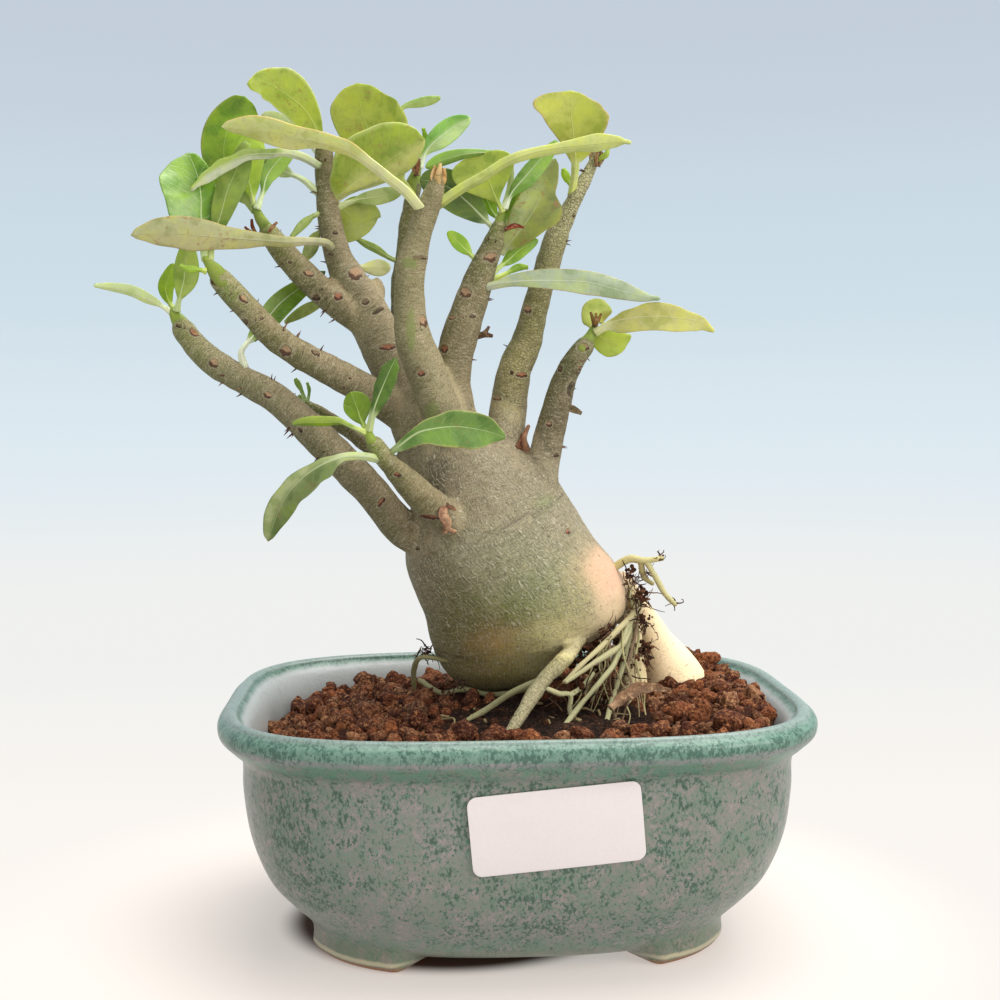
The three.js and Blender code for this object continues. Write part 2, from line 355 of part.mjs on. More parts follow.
// Level ring of a rounded rectangle: |x/a|^n + |y/b|^n = 1.
function levelRing([z, a, b, n], sides, grow = 0) {
  return Array.from({ length: sides }, (_, j) => {
    const angle = (2 * Math.PI * (j + 0.5)) / sides;
    const [c, s] = [Math.cos(angle), Math.sin(angle)];
    const x = (a + grow) * Math.sign(c) * Math.abs(c) ** (2 / n);
    const y = (b + grow) * Math.sign(s) * Math.abs(s) ** (2 / n);
    return new THREE.Vector3(x, y, z);
  });
}

const levelLoft = (slices, sides, grow = 0) => loft(slices.map((slice) => levelRing(slice, sides, grow)));

function box(x0, x1, y0, y1, z0, z1) {
  const ring = (z) => [[x0, y0], [x1, y0], [x1, y1], [x0, y1]].map(([x, y]) => new THREE.Vector3(x, y, z));
  return loft([ring(z0), ring(z1)]);
}

const union = (solids) => solids.reduce((a, b) => a.add(b));

// Largest body of a solid: loose scraps that a cut leaves are dropped.
function mainBody(whole) {
  return whole.decompose().reduce((a, b) => (a.volume() > b.volume() ? a : b));
}

// Round limb along a smooth curve through points [x, z, y, radius], with domed ends. side only has to lie
// off the limb's direction at its base: it is carried along without twist.
function limb(points, sides, stepsPerSpan, extra = 0) {
  const DOME = 0.55;
  const curve = new THREE.CatmullRomCurve3(points.map(seen), false, 'centripetal');
  const steps = Math.ceil((points.length - 1) * stepsPerSpan);
  const rings = [];
  let side = new THREE.Vector3(0.35, 0.8, 0.49);
  const ring = (centre, across, up, radius) => Array.from({ length: sides }, (_, j) => {
    const angle = (2 * Math.PI * j) / sides;
    return centre.clone().addScaledVector(across, radius * Math.cos(angle))
      .addScaledVector(up, radius * Math.sin(angle));
  });
  for (let i = 0; i <= steps; i += 1) {
    const u = i / steps;
    const place = u * (points.length - 1);
    const k = Math.min(Math.floor(place), points.length - 2);
    const radius = THREE.MathUtils.lerp(points[k][3], points[k + 1][3], place - k) + extra;
    const along = curve.getTangent(u);
    side = side.addScaledVector(along, -side.dot(along)).normalize();
    const up = along.clone().cross(side);
    const centre = curve.getPoint(u);
    const dome = (sign) => {
      const end = centre.clone().addScaledVector(along, sign * DOME * radius);
      return ring(end, side, up, DOME * radius);
    };
    if (i === 0) rings.push(dome(-1));
    rings.push(ring(centre, side, up, radius));
    if (i === steps) rings.push(dome(1));
  }
  return loft(rings);
}

// Leaf: one loft along its rib, a round stalk that flattens into the blade. left and right are the blade's
// half widths as seen, belly is where it is widest, turn swings the right edge towards the viewer and
// fold lifts both edges towards the viewer (degrees).
function leaf({ rib, left, right, belly, stalk, turn, fold }) {
  const STALK_RADIUS = Math.min(1, 0.35 * (left + right) + 0.25);
  const RIB_HALF = 0.5;        // half of the blade's thickness at its rib and at its edge
  const EDGE_HALF = 0.32;
  const FULLNESS = 0.65;       // below 1 the blade's outline is fuller than a sine
  const columns = left + right > 10 ? [-1, -0.5, 0, 0.5, 1] : [-1, 0, 1];
  const bladeSteps = left + right > 3.8 ? [0.14, 0.36, 0.6, 0.8, 0.94, 1] : [0.3, 0.6, 0.88, 1];
  const curve = new THREE.CatmullRomCurve3(rib.map(seen), false, 'centripetal');
  const stations = [0, stalk, ...bladeSteps.map((b) => stalk + b * (1 - stalk))];
  const power = Math.log(0.5) / Math.log(belly);
  const half = { [-1]: left / Math.cos(radians(turn - fold)), 1: right / Math.cos(radians(turn + fold)) };
  const rings = stations.map((s) => {
    const centre = curve.getPoint(s);
    const along = curve.getTangent(s);
    const view = centre.clone().sub(VIEWPOINT).normalize();
    const flat = view.clone().cross(along).normalize();
    const out = flat.clone().cross(along);
    const across = flat.multiplyScalar(Math.cos(radians(turn))).addScaledVector(out, Math.sin(radians(turn)));
    const normal = across.clone().cross(along);
    const b = Math.max(0, (s - stalk) / (1 - stalk));
    const shape = Math.max(0, Math.sin(Math.PI * b ** power)) ** FULLNESS;
    const stalkRadius = STALK_RADIUS * (1 - 0.35 * smooth(s, 0, stalk));
    const ribHalf = THREE.MathUtils.lerp(0.8 * stalkRadius, RIB_HALF, smooth(b, 0, 0.3));
    const edge = (column, face) => {
      const sign = Math.sign(column);
      const reach = Math.abs(column) * Math.max(stalkRadius, 0.45, (half[sign] ?? 0) * shape);
      const tilt = radians(fold) * smooth(b, 0, 0.2);
      const thick = THREE.MathUtils.lerp(ribHalf, EDGE_HALF, Math.abs(column));
      return centre.clone().addScaledVector(across, sign * reach * Math.cos(tilt))
        .addScaledVector(normal, reach * Math.sin(tilt) + face * thick);
    };
    return [...columns.map((c) => edge(c, 1)), ...columns.slice().reverse().map((c) => edge(c, -1))];
  });
  const swapped = [...columns, ...columns].map((_, j) => j >= columns.length);
  return loft(rings, swapped, false);
}

// Upright solid over a rounded rectangle [a, b, n], from a level or sloping plane up to a surface.
function layer([a, b, n], sides, ringCount, top, bottom) {
  const outline = levelRing([0, a, b, n], sides);
  const points = [new THREE.Vector3(0, 0, top(0, 0)), new THREE.Vector3(0, 0, bottom(0, 0))];
  const ring = (share, height) => outline.forEach((p) => {
    points.push(new THREE.Vector3(p.x * share, p.y * share, height(p.x * share, p.y * share)));
  });
  for (let i = 1; i <= ringCount; i += 1) ring(i / ringCount, top);
  ring(1, bottom);
  const index = (i, j) => 2 + (i - 1) * sides + (j % sides);
  const triangles = [];
  for (let j = 0; j < sides; j += 1) {
    triangles.push(0, index(1, j), index(1, j + 1), 1, index(ringCount + 1, j + 1), index(ringCount + 1, j));
    for (let i = 1; i <= ringCount; i += 1) {
      triangles.push(index(i, j), index(i + 1, j), index(i + 1, j + 1));
      triangles.push(index(i, j), index(i + 1, j + 1), index(i, j + 1));
    }
  }
  return solid(points, triangles);
}

// ---- pieces -------------------------------------------------------------------------------------
function makePot() {
  const shell = levelLoft(POT_OUTSIDE, POT_SIDES).subtract(levelLoft(POT_INSIDE, POT_SIDES));
  const footRing = levelLoft(FOOT_OUTSIDE, POT_SIDES).subtract(levelLoft(FOOT_INSIDE, POT_SIDES));
  const [far, low, high] = [90, FOOT_INSIDE[0][0], FOOT_INSIDE[1][0]];
  const feet = footRing.subtract(box(-FOOT_GAP_X, FOOT_GAP_X, -far, far, low, high))
    .subtract(box(-far, far, -FOOT_GAP_Y, FOOT_GAP_Y, low, high)).subtract(levelLoft(POT_INSIDE, POT_SIDES));
  const drains = [-DRAIN_X, DRAIN_X].map((x) => {
    const circle = (z) => levelRing([z, DRAIN_RADIUS, DRAIN_RADIUS, 2], DRAIN_SIDES)
      .map((p) => p.add(new THREE.Vector3(x, 0, 0)));
    return loft([circle(low), circle(high + 1)]);
  });
  return shell.add(feet).subtract(union(drains));
}

// Rounded card bent round the pot's wall, a seat gap off the glaze.
function makeLabel() {
  const { x, z, width, height, tilt, corner, thick } = LABEL;
  const outline = [];
  [[1, 1], [-1, 1], [-1, -1], [1, -1]].forEach(([sideX, sideZ], quarter) => {
    for (let k = 0; k <= 2; k += 1) {
      const angle = ((quarter + k / 2) * Math.PI) / 2;
      const [cornerX, cornerZ] = [sideX * (width / 2 - corner), sideZ * (height / 2 - corner)];
      outline.push([cornerX + corner * Math.cos(angle), cornerZ + corner * Math.sin(angle)]);
    }
  });
  const [c, s] = [Math.cos(radians(tilt)), Math.sin(radians(tilt))];
  const card = (y) => outline.map(([u, v]) => new THREE.Vector3(x + u * c - v * s, y, z + u * s + v * c));
  const prism = loft([card(-1.4 * POT_OUTSIDE.at(-1)[2]), card(0)]);
  const wall = POT_OUTSIDE.filter(([level]) => level < 50);
  const outer = levelLoft(wall, POT_SIDES, SEAT_GAP + thick);
  return prism.intersect(outer).subtract(levelLoft(wall, POT_SIDES, SEAT_GAP));
}

// The whole wood: caudex, branches and roots are one grown piece. extra makes it fatter, for cutting.
function makeWood(extra = 0) {
  const slices = CAUDEX.map(([z, x, y, hx], k) => {
    const rise = k === 0 ? -extra : (k === CAUDEX.length - 1 ? extra : 0);
    return levelRing([z + rise, hx, hx * CAUDEX_DEPTH, 2], CAUDEX_SIDES, extra)
      .map((p) => p.add(new THREE.Vector3(x, y, 0)));
  });
  const branchSides = (points) => (points[0][3] > 4 ? 9 : 6);
  const branches = Object.values(BRANCHES).map((points) => limb(points, branchSides(points), 0.85, extra));
  const rootSides = (points) => (points[0][3] > 2 ? 8 : 5);
  const roots = Object.values(ROOTS).map((points) => limb(points, rootSides(points), 0.8, extra));
  return union([loft(slices), ...branches, ...roots]);
}

function insideOf([a, b, n], x, y) {
  return Math.abs(x / a) ** n + Math.abs(y / b) ** n < 1;
}

const inBareMix = (x, y) => ((x - BARE_MIX.x) / BARE_MIX.rx) ** 2 + ((y - BARE_MIX.y) / BARE_MIX.ry) ** 2 < 1;

// Plug of dark mix that comes up through the granules.
function bareMixPlug(grow = 0) {
  const ring = (height) => levelRing([0, BARE_MIX.rx, BARE_MIX.ry, 2], 20, grow)
    .map((p) => new THREE.Vector3(p.x + BARE_MIX.x, p.y + BARE_MIX.y, height));
  return loft([ring(UNDER_SOIL + 1), ring(ABOVE_SOIL)]);
}

// Layer of granules on the mix: a bed with seeded, turned clods that stand half out of it.
function makeGrit(cutter) {
  const random = randomNumbers(7);
  const [halfX, halfY, squareness] = GRIT_EDGE;
  const bed = layer(GRIT_EDGE, GRIT_SIDES, 3, soilHeight, mixTop);
  const reach = [halfX - GRANULE_MARGIN, halfY - GRANULE_MARGIN, squareness];
  const placed = [];
  for (let tries = 0; tries < 6000 && placed.length < GRANULES; tries += 1) {
    const [x, y] = [(2 * random() - 1) * halfX, (2 * random() - 1) * halfY];
    const clear = placed.every(([px, py]) => Math.hypot(px - x, py - y) > GRANULE_SPACING);
    if (clear && insideOf(reach, x, y) && !inBareMix(x, y)) placed.push([x, y]);
  }
  const granules = placed.map(([x, y]) => {
    const size = THREE.MathUtils.lerp(...GRANULE_SIZE, random());
    const turn = new THREE.Euler(6 * random(), 6 * random(), 6 * random());
    const squash = new THREE.Vector3(1, 0.8 + 0.3 * random(), 0.7 + 0.3 * random());
    const centre = new THREE.Vector3(x, y, soilHeight(x, y) + 0.06 * size);
    const place = new THREE.Matrix4().compose(centre, new THREE.Quaternion().setFromEuler(turn), squash);
    return solidOfGeometry(new THREE.BoxGeometry(size, size, size).toNonIndexed().applyMatrix4(place));
  });
  const wallEdge = [halfX + 0.4, halfY + 0.4, squareness];
  const walls = layer(wallEdge, GRIT_SIDES, 1, () => ABOVE_SOIL, mixTop);
  return mainBody(union([bed, ...granules]).intersect(walls).subtract(bareMixPlug(SEAT_GAP)).subtract(cutter));
}

// Solid of a closed geometry whose triangles don't share their corners yet.
function solidOfGeometry(geometry) {
  const position = geometry.getAttribute('position');
  const points = [];
  const triangles = [];
  const known = new Map();
  for (let k = 0; k < position.count; k += 1) {
    const p = new THREE.Vector3().fromBufferAttribute(position, k);
    const key = [p.x, p.y, p.z].map((v) => v.toFixed(4)).join();
    if (!known.has(key)) known.set(key, points.push(p) - 1);
    triangles.push(known.get(key));
  }
  return solid(points, triangles);
}

// Potting mix: it fills the pot up to the granules, and comes up bare round the front of the caudex.
function makeMix(cutter) {
  const slices = POT_INSIDE.filter(([z]) => z < MIX_TOP[0] + 5);
  const [floor, a, b, n] = slices[0];
  const filled = [[floor + SEAT_GAP, a, b, n], ...slices.slice(1), [ABOVE_SOIL, ...slices.at(-1).slice(1)]];
  const bulk = levelLoft(filled, POT_SIDES, -SEAT_GAP);
  const below = layer(POT_OUTSIDE.at(-1).slice(1), 12, 1, (x) => mixTop(x) - SEAT_GAP, () => 0);
  const ground = layer([40, 36, 2], 16, 4, (x, y) => soilHeight(x, y) - 0.8, () => UNDER_SOIL);
  return mainBody(bulk.intersect(below.add(bareMixPlug().intersect(ground))).subtract(cutter));
}

// ---- assembly -----------------------------------------------------------------------------------
const FINISH = {
  glaze: { color: 0x6fa88f, roughness: 0.3 },
  paper: { color: 0xe9dfe0, roughness: 0.85 },
  granule: { color: 0x8a4a32, roughness: 0.95 },
  peat: { color: 0x33211b, roughness: 0.95 },
  bark: { color: 0xa39b7c, roughness: 0.8 },
  green: { color: 0x8db040, roughness: 0.45 },
  dry: { color: 0x8b5f45, roughness: 0.8 },
};

const plant = new THREE.Group();

function addPiece(name, piece, finish) {
  const { vertProperties, triVerts } = piece.getMesh();
  const geometry = new THREE.BufferGeometry();
  geometry.setAttribute('position', new THREE.BufferAttribute(new Float32Array(vertProperties), 3));
  geometry.setIndex(new THREE.BufferAttribute(new Uint32Array(triVerts), 1));
  geometry.computeVertexNormals();
  const material = new THREE.MeshStandardMaterial({ ...FINISH[finish], metalness: 0 });
  const mesh = new THREE.Mesh(geometry, material);
  mesh.name = name;
  plant.add(mesh);
}

const wood = makeWood();
const cutter = makeWood(SEAT_GAP);
addPiece('pot', makePot(), 'glaze');
addPiece('label', makeLabel(), 'paper');
addPiece('potting_mix', makeMix(cutter), 'peat');
addPiece('grit', makeGrit(cutter), 'granule');
addPiece('caudex_and_branches', wood, 'bark');

// A tuft is a green shoot tip with its leaves, grown as one; a leaf that leaves the bark clear of the tip,
// as all the other leaves do, is a body of its own.
const nodes = [...new Set(LEAVES.map(({ node }) => node))];
nodes.forEach((node) => {
  const blades = LEAVES.filter((entry) => entry.node === node).map(leaf);
  const tip = SHOOT_TIPS[node.replace('tuft_', '')];
  const bodies = union(tip ? [limb(tip, 7, 1), ...blades] : blades).subtract(cutter).decompose()
    .filter((body) => body.volume() > SCRAP).sort((a, b) => b.volume() - a.volume());
  bodies.forEach((body, k) => addPiece(bodies.length > 1 ? `${node}_${k + 1}` : node, body, 'green'));
});
addPiece('dry_leaf', leaf(DRY_LEAF), 'dry');

// The origin goes to the middle of the footprint box, on the standing surface.
const bounds = new THREE.Box3().setFromObject(plant);
const middle = bounds.getCenter(new THREE.Vector3());
plant.position.set(-middle.x, -middle.y, -bounds.min.z);
plant.updateMatrixWorld(true);

export default plant;
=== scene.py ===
"""Potted desert rose: a swollen, leaning caudex with bare branches and leaf tufts in a glazed bonsai pot.

Shapes are worked out in millimetres round the middle of the pot, +Z up, +X to the viewer's right, the
viewer on the -Y side. add_piece puts them into meshes in metres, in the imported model's own frame.
"""

import math
from dataclasses import dataclass, field

import bpy
import numpy as np
from mathutils import Matrix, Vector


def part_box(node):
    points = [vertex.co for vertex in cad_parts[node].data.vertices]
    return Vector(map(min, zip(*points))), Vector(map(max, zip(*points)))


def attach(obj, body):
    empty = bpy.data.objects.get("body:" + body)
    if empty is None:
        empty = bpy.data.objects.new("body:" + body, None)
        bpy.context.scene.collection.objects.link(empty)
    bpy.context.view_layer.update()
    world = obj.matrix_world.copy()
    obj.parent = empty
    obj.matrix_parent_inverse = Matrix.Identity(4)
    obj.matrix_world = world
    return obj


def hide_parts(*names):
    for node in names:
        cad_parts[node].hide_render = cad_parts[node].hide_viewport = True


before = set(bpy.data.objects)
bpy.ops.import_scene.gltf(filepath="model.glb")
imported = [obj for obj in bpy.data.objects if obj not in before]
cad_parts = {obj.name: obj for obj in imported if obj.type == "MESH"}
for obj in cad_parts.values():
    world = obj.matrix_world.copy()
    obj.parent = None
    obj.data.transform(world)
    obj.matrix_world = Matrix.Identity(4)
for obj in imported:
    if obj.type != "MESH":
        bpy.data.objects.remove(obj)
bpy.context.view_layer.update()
POT_LOW, POT_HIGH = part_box("pot")
SHIFT = np.array([POT_LOW.x + POT_HIGH.x, POT_LOW.y + POT_HIGH.y, 0]) * 500

# ---- driving sizes, as in the part's source (mm) ----
# Pot wall, outside and inside: (height, half length, half depth, squareness).
POT_OUTSIDE = [
    (3.4, 46, 37, 2.7), (6, 51.5, 44, 2.8), (10.5, 55.6, 47.8, 3), (14.5, 59.2, 50.8, 3.1),
    (19.5, 62.6, 53.4, 3.3), (30, 66.3, 56.2, 3.5), (41, 67.8, 57.3, 3.5), (49, 68.1, 57.6, 3.5),
    (52.3, 71, 60.2, 3.5), (55, 73.3, 62.3, 3.5), (57.6, 73.4, 62.4, 3.5), (59.3, 71.6, 60.8, 3.5),
]
POT_INSIDE = [
    (7.8, 46, 38, 2.9), (12, 52, 44, 3), (20, 59.4, 50.2, 3.3), (31, 63, 53, 3.5), (50, 64.6, 54.3, 3.5),
    (56, 66.3, 56, 3.5), (59, 68.9, 58.3, 3.5),
]
# Rows under the wall, each as it is between the feet and where a foot stands.
BASE_ROWS = [
    ((9.2, 54.5, 46.9, 2.95), (9.2, 54.5, 46.9, 2.95)), ((7.7, 53.2, 45.6, 2.9), (7.8, 53.5, 45.7, 2.9)),
    ((6.2, 51.9, 44.2, 2.85), (6.3, 52.9, 44.8, 2.85)), ((5, 50.4, 42.6, 2.8), (4.7, 52.8, 44.4, 2.85)),
    ((4.1, 48.9, 40.9, 2.8), (3.2, 53, 44.2, 2.85)), ((3.5, 47.6, 39.4, 2.75), (1.9, 53, 44, 2.85)),
    ((3, 46.6, 38, 2.7), (1, 52.6, 43.4, 2.8)), ((2.7, 45.5, 36.9, 2.7), (0.35, 51.9, 42.6, 2.8)),
    ((2.7, 44.4, 35.6, 2.7), (0, 50.8, 41.4, 2.8)), ((2.8, 42.5, 33.5, 2.7), (0, 44, 34.4, 2.8)),
    ((3, 41.5, 32, 2.7), (0.1, 40.6, 30.8, 2.8)), ((3.4, 40.5, 30.5, 2.7), (0.8, 40, 30, 2.8)),
    ((3.4, 39.5, 29.5, 2.7), (3.2, 39.5, 29.5, 2.8)), ((3.4, 30, 22, 2.5), (3.4, 30, 22, 2.5)),
    ((3.4, 12, 9, 2.2), (3.4, 12, 9, 2.2)), ((3.4, 0.8, 0.6, 2), (3.4, 0.8, 0.6, 2)),
]
POT_COLUMNS = 360
POT_FLOOR = (7.8, 46, 38, 2.4)  # its inside, as one more such row
LIP_RISE = 0.8
WALL_WAVE = 0.25               # how far the thrown wall wanders in and out
WALL_STARTS = 10.4             # the outside wall's rows lie above this height, the base rows below
FOOT_RING = (52, 43.5, 2.8)    # outline on which the feet are marked off
FOOT_GAP_X = 26                # half the gap between two feet
FOOT_GAP_Y = 18
FOOT_START_X = (FOOT_GAP_X + 1, FOOT_GAP_X + 6)
FOOT_START_Y = (FOOT_GAP_Y - 2.5, FOOT_GAP_Y + 2)
SEAT_GAP = 0.3
LABEL = {"x": 6, "z": 39.2, "width": 39, "height": 18.5, "tilt": 5, "corner": 2.2, "thick": 0.45}
GRIT_EDGE = (63, 53, 3.5)      # half length, half depth and squareness of the granules' bed
# Ovals of the peat seen bare in front of the caudex and of the caudex's foot: middle and half widths.
BARE_SEEN = {"x": 8, "y": -16, "rx": 27, "ry": 19}
CAUDEX_FOOT = {"x": -2, "y": 16, "rx": 17, "ry": 15}

# Caudex slices: (height, x, y, half width); its depth is a share of its width.
CAUDEX = [
    (55.5, -5, 19, 4), (57.5, -3.5, 18, 9), (62, -1.5, 16, 15.5), (67.5, -0.5, 14, 19.5), (72.5, 2, 13, 23.5),
    (78, 4, 12, 26.5), (84, 3, 11, 28), (91, 0.5, 10, 27.5), (98, -2.5, 9, 25), (106, -4.5, 8, 22),
    (112.5, -6, 7, 19.5), (118, -7, 6, 16.5), (122, -8, 5, 12.5), (124.5, -8, 5, 7.5),
]
CAUDEX_DEPTH = 0.92

# Points of branches, roots and ribs are (x, z, y): x and z as they are seen from the eye on the upright
# plane through the pot's middle, y the true depth. Branches and roots add their radius.
EYE = np.array([-25.46, -384.69, 134.18])
BRANCHES = {
    "main_stem": [(-21, 127, 4, 9.7), (-25.5, 136, 4, 8), (-30.5, 145, 5, 6.5), (-34, 151.5, 6, 6),
        (-37.5, 159, 7, 5.5), (-40.5, 164.5, 7, 4.7), (-43.5, 170.5, 8, 3.8), (-45.5, 179, 9, 3.3),
        (-46.5, 188, 9, 3), (-47, 195, 9, 2.8), (-47, 197.5, 9, 2.6)],
    "branch_low_left": [(-21.5, 98, 5, 5), (-28.4, 102.3, 1, 4.7), (-36.4, 112.1, -3, 4.5),
        (-44.8, 120.8, -5, 4.5), (-54, 130, -5, 4.2), (-60, 135.5, -4, 3.9), (-68, 140, -2, 3.7),
        (-76.5, 145.5, 0, 3.5), (-83, 153, 3, 3.1)],
    "branch_mid_left": [(-24.5, 128.5, 2, 4.6), (-30, 132.5, 0, 4.4), (-38, 138, -4, 4.1),
        (-46.5, 142.5, -7, 3.8), (-54.5, 147, -9, 3.6), (-61.5, 152.5, -11, 3.4), (-67.5, 159, -13, 3.1),
        (-73.5, 165.5, -15, 2.7)],
    "branch_upper_left": [(-35, 152, 6, 3.9), (-38.5, 155, 5.5, 3.9), (-44.5, 159.5, 4, 3.8),
        (-51, 165.5, 3, 3.5), (-57, 171.5, 2, 3.2), (-61, 177, 1, 2.7)],
    "branch_behind": [(-26, 144, 10, 2.6), (-27.5, 149, 13, 2.4), (-28.5, 155, 15, 2.3),
        (-28.5, 163, 17, 2.1), (-27.5, 170.5, 19, 2.2), (-26.5, 178, 20, 2.3), (-25, 185.5, 21, 2.3),
        (-24.5, 189, 21, 2.3)],
    "branch_front": [(-13.5, 123.5, -2, 5.9), (-16, 127, -4, 5.6), (-19, 135, -8, 5.1), (-22.5, 144, -10, 5),
        (-25, 150.5, -12, 4.6), (-26, 160, -13, 3.8), (-25.5, 168.5, -15, 3.7), (-23.5, 176, -16, 3.3),
        (-21, 183, -17, 2.9), (-19.5, 187, -18, 2.7), (-18.5, 190, -18, 2.2)],
    "branch_middle": [(-12.5, 127, 0, 5.1), (-14.5, 135, -2, 4.8), (-15, 141, -2, 4.7), (-14, 147.5, -2, 4.7),
        (-12, 154.5, -2, 4.6), (-9, 163, -1, 4.1), (-6.5, 170, 0, 3.3), (-4, 175.5, 0, 2.8),
        (-3, 178.5, 0, 2.2)],
    "branch_right": [(-3, 120.5, 2, 5.7), (-1.5, 127, 4, 5.2), (-0.5, 134.5, 5, 4.8), (1, 142.5, 5, 4.4),
        (4, 150, 6, 4), (6.5, 159, 6, 3.5), (9, 167.5, 7, 3.3), (11.5, 175.5, 7, 3.1), (14.5, 182, 8, 2.5),
        (17.5, 188, 8, 2), (20, 192.5, 8, 1.8), (22, 196.5, 8, 1.4)],
    "branch_low_right": [(7.5, 113, 0, 4.6), (8, 118, -1, 4.2), (9.5, 124.5, -2, 4), (12, 134.5, -3, 3.6),
        (14, 140.5, -3, 3.2), (17, 146, -4, 2.7), (19, 148.5, -4, 2.4)],
    "branch_short": [(-10, 98.5, -2, 4.6), (-16, 104, -9, 4.4), (-20.5, 108, -13, 4.2), (-24, 111, -16, 3.9),
        (-28.5, 115.5, -20, 3.2), (-32.5, 120, -24, 2.4), (-35, 123.5, -25, 2.2)],
    "twig": [(-24, 114, 0, 2.2), (-28.5, 117.5, 4, 2.1), (-32.5, 120.5, 8, 2.1), (-36, 122.5, 10, 2.1),
        (-40, 125.5, 11, 2), (-44, 128.5, 12, 2), (-49, 132, 13, 1.7), (-52, 133.5, 14, 1.5)],
    "stub": [(-35.5, 158, 8, 2.4), (-33.5, 162.5, 9, 1.8), (-34, 165, 9, 1.3)],
}
ROOTS = {
    "main": [(17.5, 73, -3, 2), (15.2, 69.5, -8, 1.9), (12, 66, -14, 2), (8.5, 62.5, -18, 2),
        (5, 57.5, -23, 1.9), (1.5, 52, -28, 1.6), (-3, 45.5, -34, 1.1)],
    "thin_left": [(8.5, 62.5, -16, 0.9), (0, 59, -14, 0.9), (-7, 54.5, -12, 0.8), (-14.5, 50.5, -14, 0.6)],
    "floor": [(-24, 62.5, 18, 0.7), (-18, 59, 12, 0.7), (-13, 60, 10, 0.8), (-6, 58.5, 7, 0.8),
        (2.5, 59.5, -3, 0.8), (9, 62.5, -16, 0.8)],
    "left": [(-15, 67, 6, 0.6), (-23.5, 68.5, 3, 0.6), (-25.5, 65.5, 8, 0.7), (-25.5, 60.5, 13, 0.6)],
    "bunch_1": [(27, 85, 12, 1.4), (33, 82.5, 9, 1.1), (31.5, 79, 4, 1), (28, 75.5, -4, 0.8),
        (23, 70.5, -10, 0.7), (18, 66, -15, 0.6), (13.5, 61.5, -17.5, 0.5)],
    "bunch_2": [(31.5, 79, 4, 0.8), (29, 71.5, -5, 0.8), (25.5, 69, -9, 0.8), (21.5, 66.5, -13, 0.7),
        (14, 61.5, -18, 0.5)],
    "bunch_3": [(30, 76, -1, 0.8), (26.5, 66, -10, 0.7), (23, 61.5, -14, 0.7), (17, 54.5, -17, 0.7),
        (12.5, 48.5, -23, 0.6)],
    "bunch_4": [(31, 76, 2, 0.8), (28.5, 64.5, -6, 0.7), (27, 59.5, -9, 0.7), (25.5, 54.5, -14, 0.7),
        (24, 48.5, -20, 0.6)],
    "fork_1": [(7.5, 60.5, -20, 0.7), (12, 58.5, -17, 0.7), (15, 58, -15, 0.7), (15, 53.5, -15, 0.6),
        (18, 49, -20, 0.6)],
    "fork_2": [(15, 58, -15, 0.7), (18, 60, -12, 0.6), (21, 63.5, -10, 0.6)],
    "air_1": [(23, 89, 6, 1.1), (28.5, 92.5, 4, 1.1), (31, 93.5, 3, 1.1), (34.5, 93, 2, 0.9),
        (39, 93.5, 2, 0.7)],
    "air_2": [(35, 92.6, 2, 0.8), (38, 87.5, 1, 0.8), (40, 84, 0, 0.7), (42.5, 81.5, -1, 0.6)],
    "air_3": [(33.5, 92.6, 2.5, 0.7), (34.5, 88.5, 4, 0.7), (36.5, 87, 4, 0.6)],
    "stout_1": [(29, 88, 12, 2.4), (34, 78.5, 17, 3.6), (37.5, 71.5, 19, 5.2), (41, 65, 20, 7.5),
        (43.6, 57.5, 21, 9.6), (45, 52, 22, 10.6)],
    "stout_2": [(25, 81, 10, 2.2), (31, 76, 9, 2.3), (31.5, 69, 8, 2.9), (31.5, 62, 6, 3.8),
        (31, 54, 4, 4.4)],
}
SHOOT_TIPS = {
    "low_left": [(-82, 152, 3, 2.8), (-84, 155, 4, 2.7), (-85.5, 157.5, 4, 2.1)],
    "mid_left": [(-72.5, 164.5, -15, 2.6), (-75, 168, -16, 2.5), (-77, 170.5, -16, 1.8)],
    "upper_left": [(-60, 175.5, 1, 2.6), (-62.5, 179.5, 0.5, 2.3), (-64.5, 183.5, 0, 1.7)],
    "behind": [(-25, 187.5, 21, 2.2), (-24, 191.5, 21, 2.2), (-23, 194.5, 21, 1.5)],
    "middle": [(-3.5, 177, 0, 2.2), (-2.5, 180.5, 0, 1.9), (-2, 183.5, 0, 1.5)],
    "low_right": [(18, 147.5, -4, 2.4), (20.5, 151, -4, 2), (21.5, 153.5, -4, 1.4)],
    "short": [(-34.5, 122.5, -24.5, 2), (-36, 125, -26, 1.8), (-37, 127.5, -26, 1.3)],
    "twig": [(-51, 133, 14, 1.3), (-52.5, 134, 14, 1.2), (-54, 136, 14, 0.8)],
}

UPPER, UNDER = "upper", "under"


@dataclass
class Leaf:
    """A leaf: rib points, half widths as seen (mm), where along the blade it is widest, the stalk's share of
    the rib, turn and fold (degrees), the face turned to the viewer, its colours (left half, right half,
    midrib, margin), how strong its gloss, veins and specks are, and, where the outline is its own, the half
    widths at even steps along the blade."""
    rib: list
    left: float
    right: float
    belly: float
    stalk: float
    turn: float
    fold: float
    face: str
    tints: str
    gloss: float
    veins: float
    specks: float
    left_widths: tuple = ()
    right_widths: tuple = ()


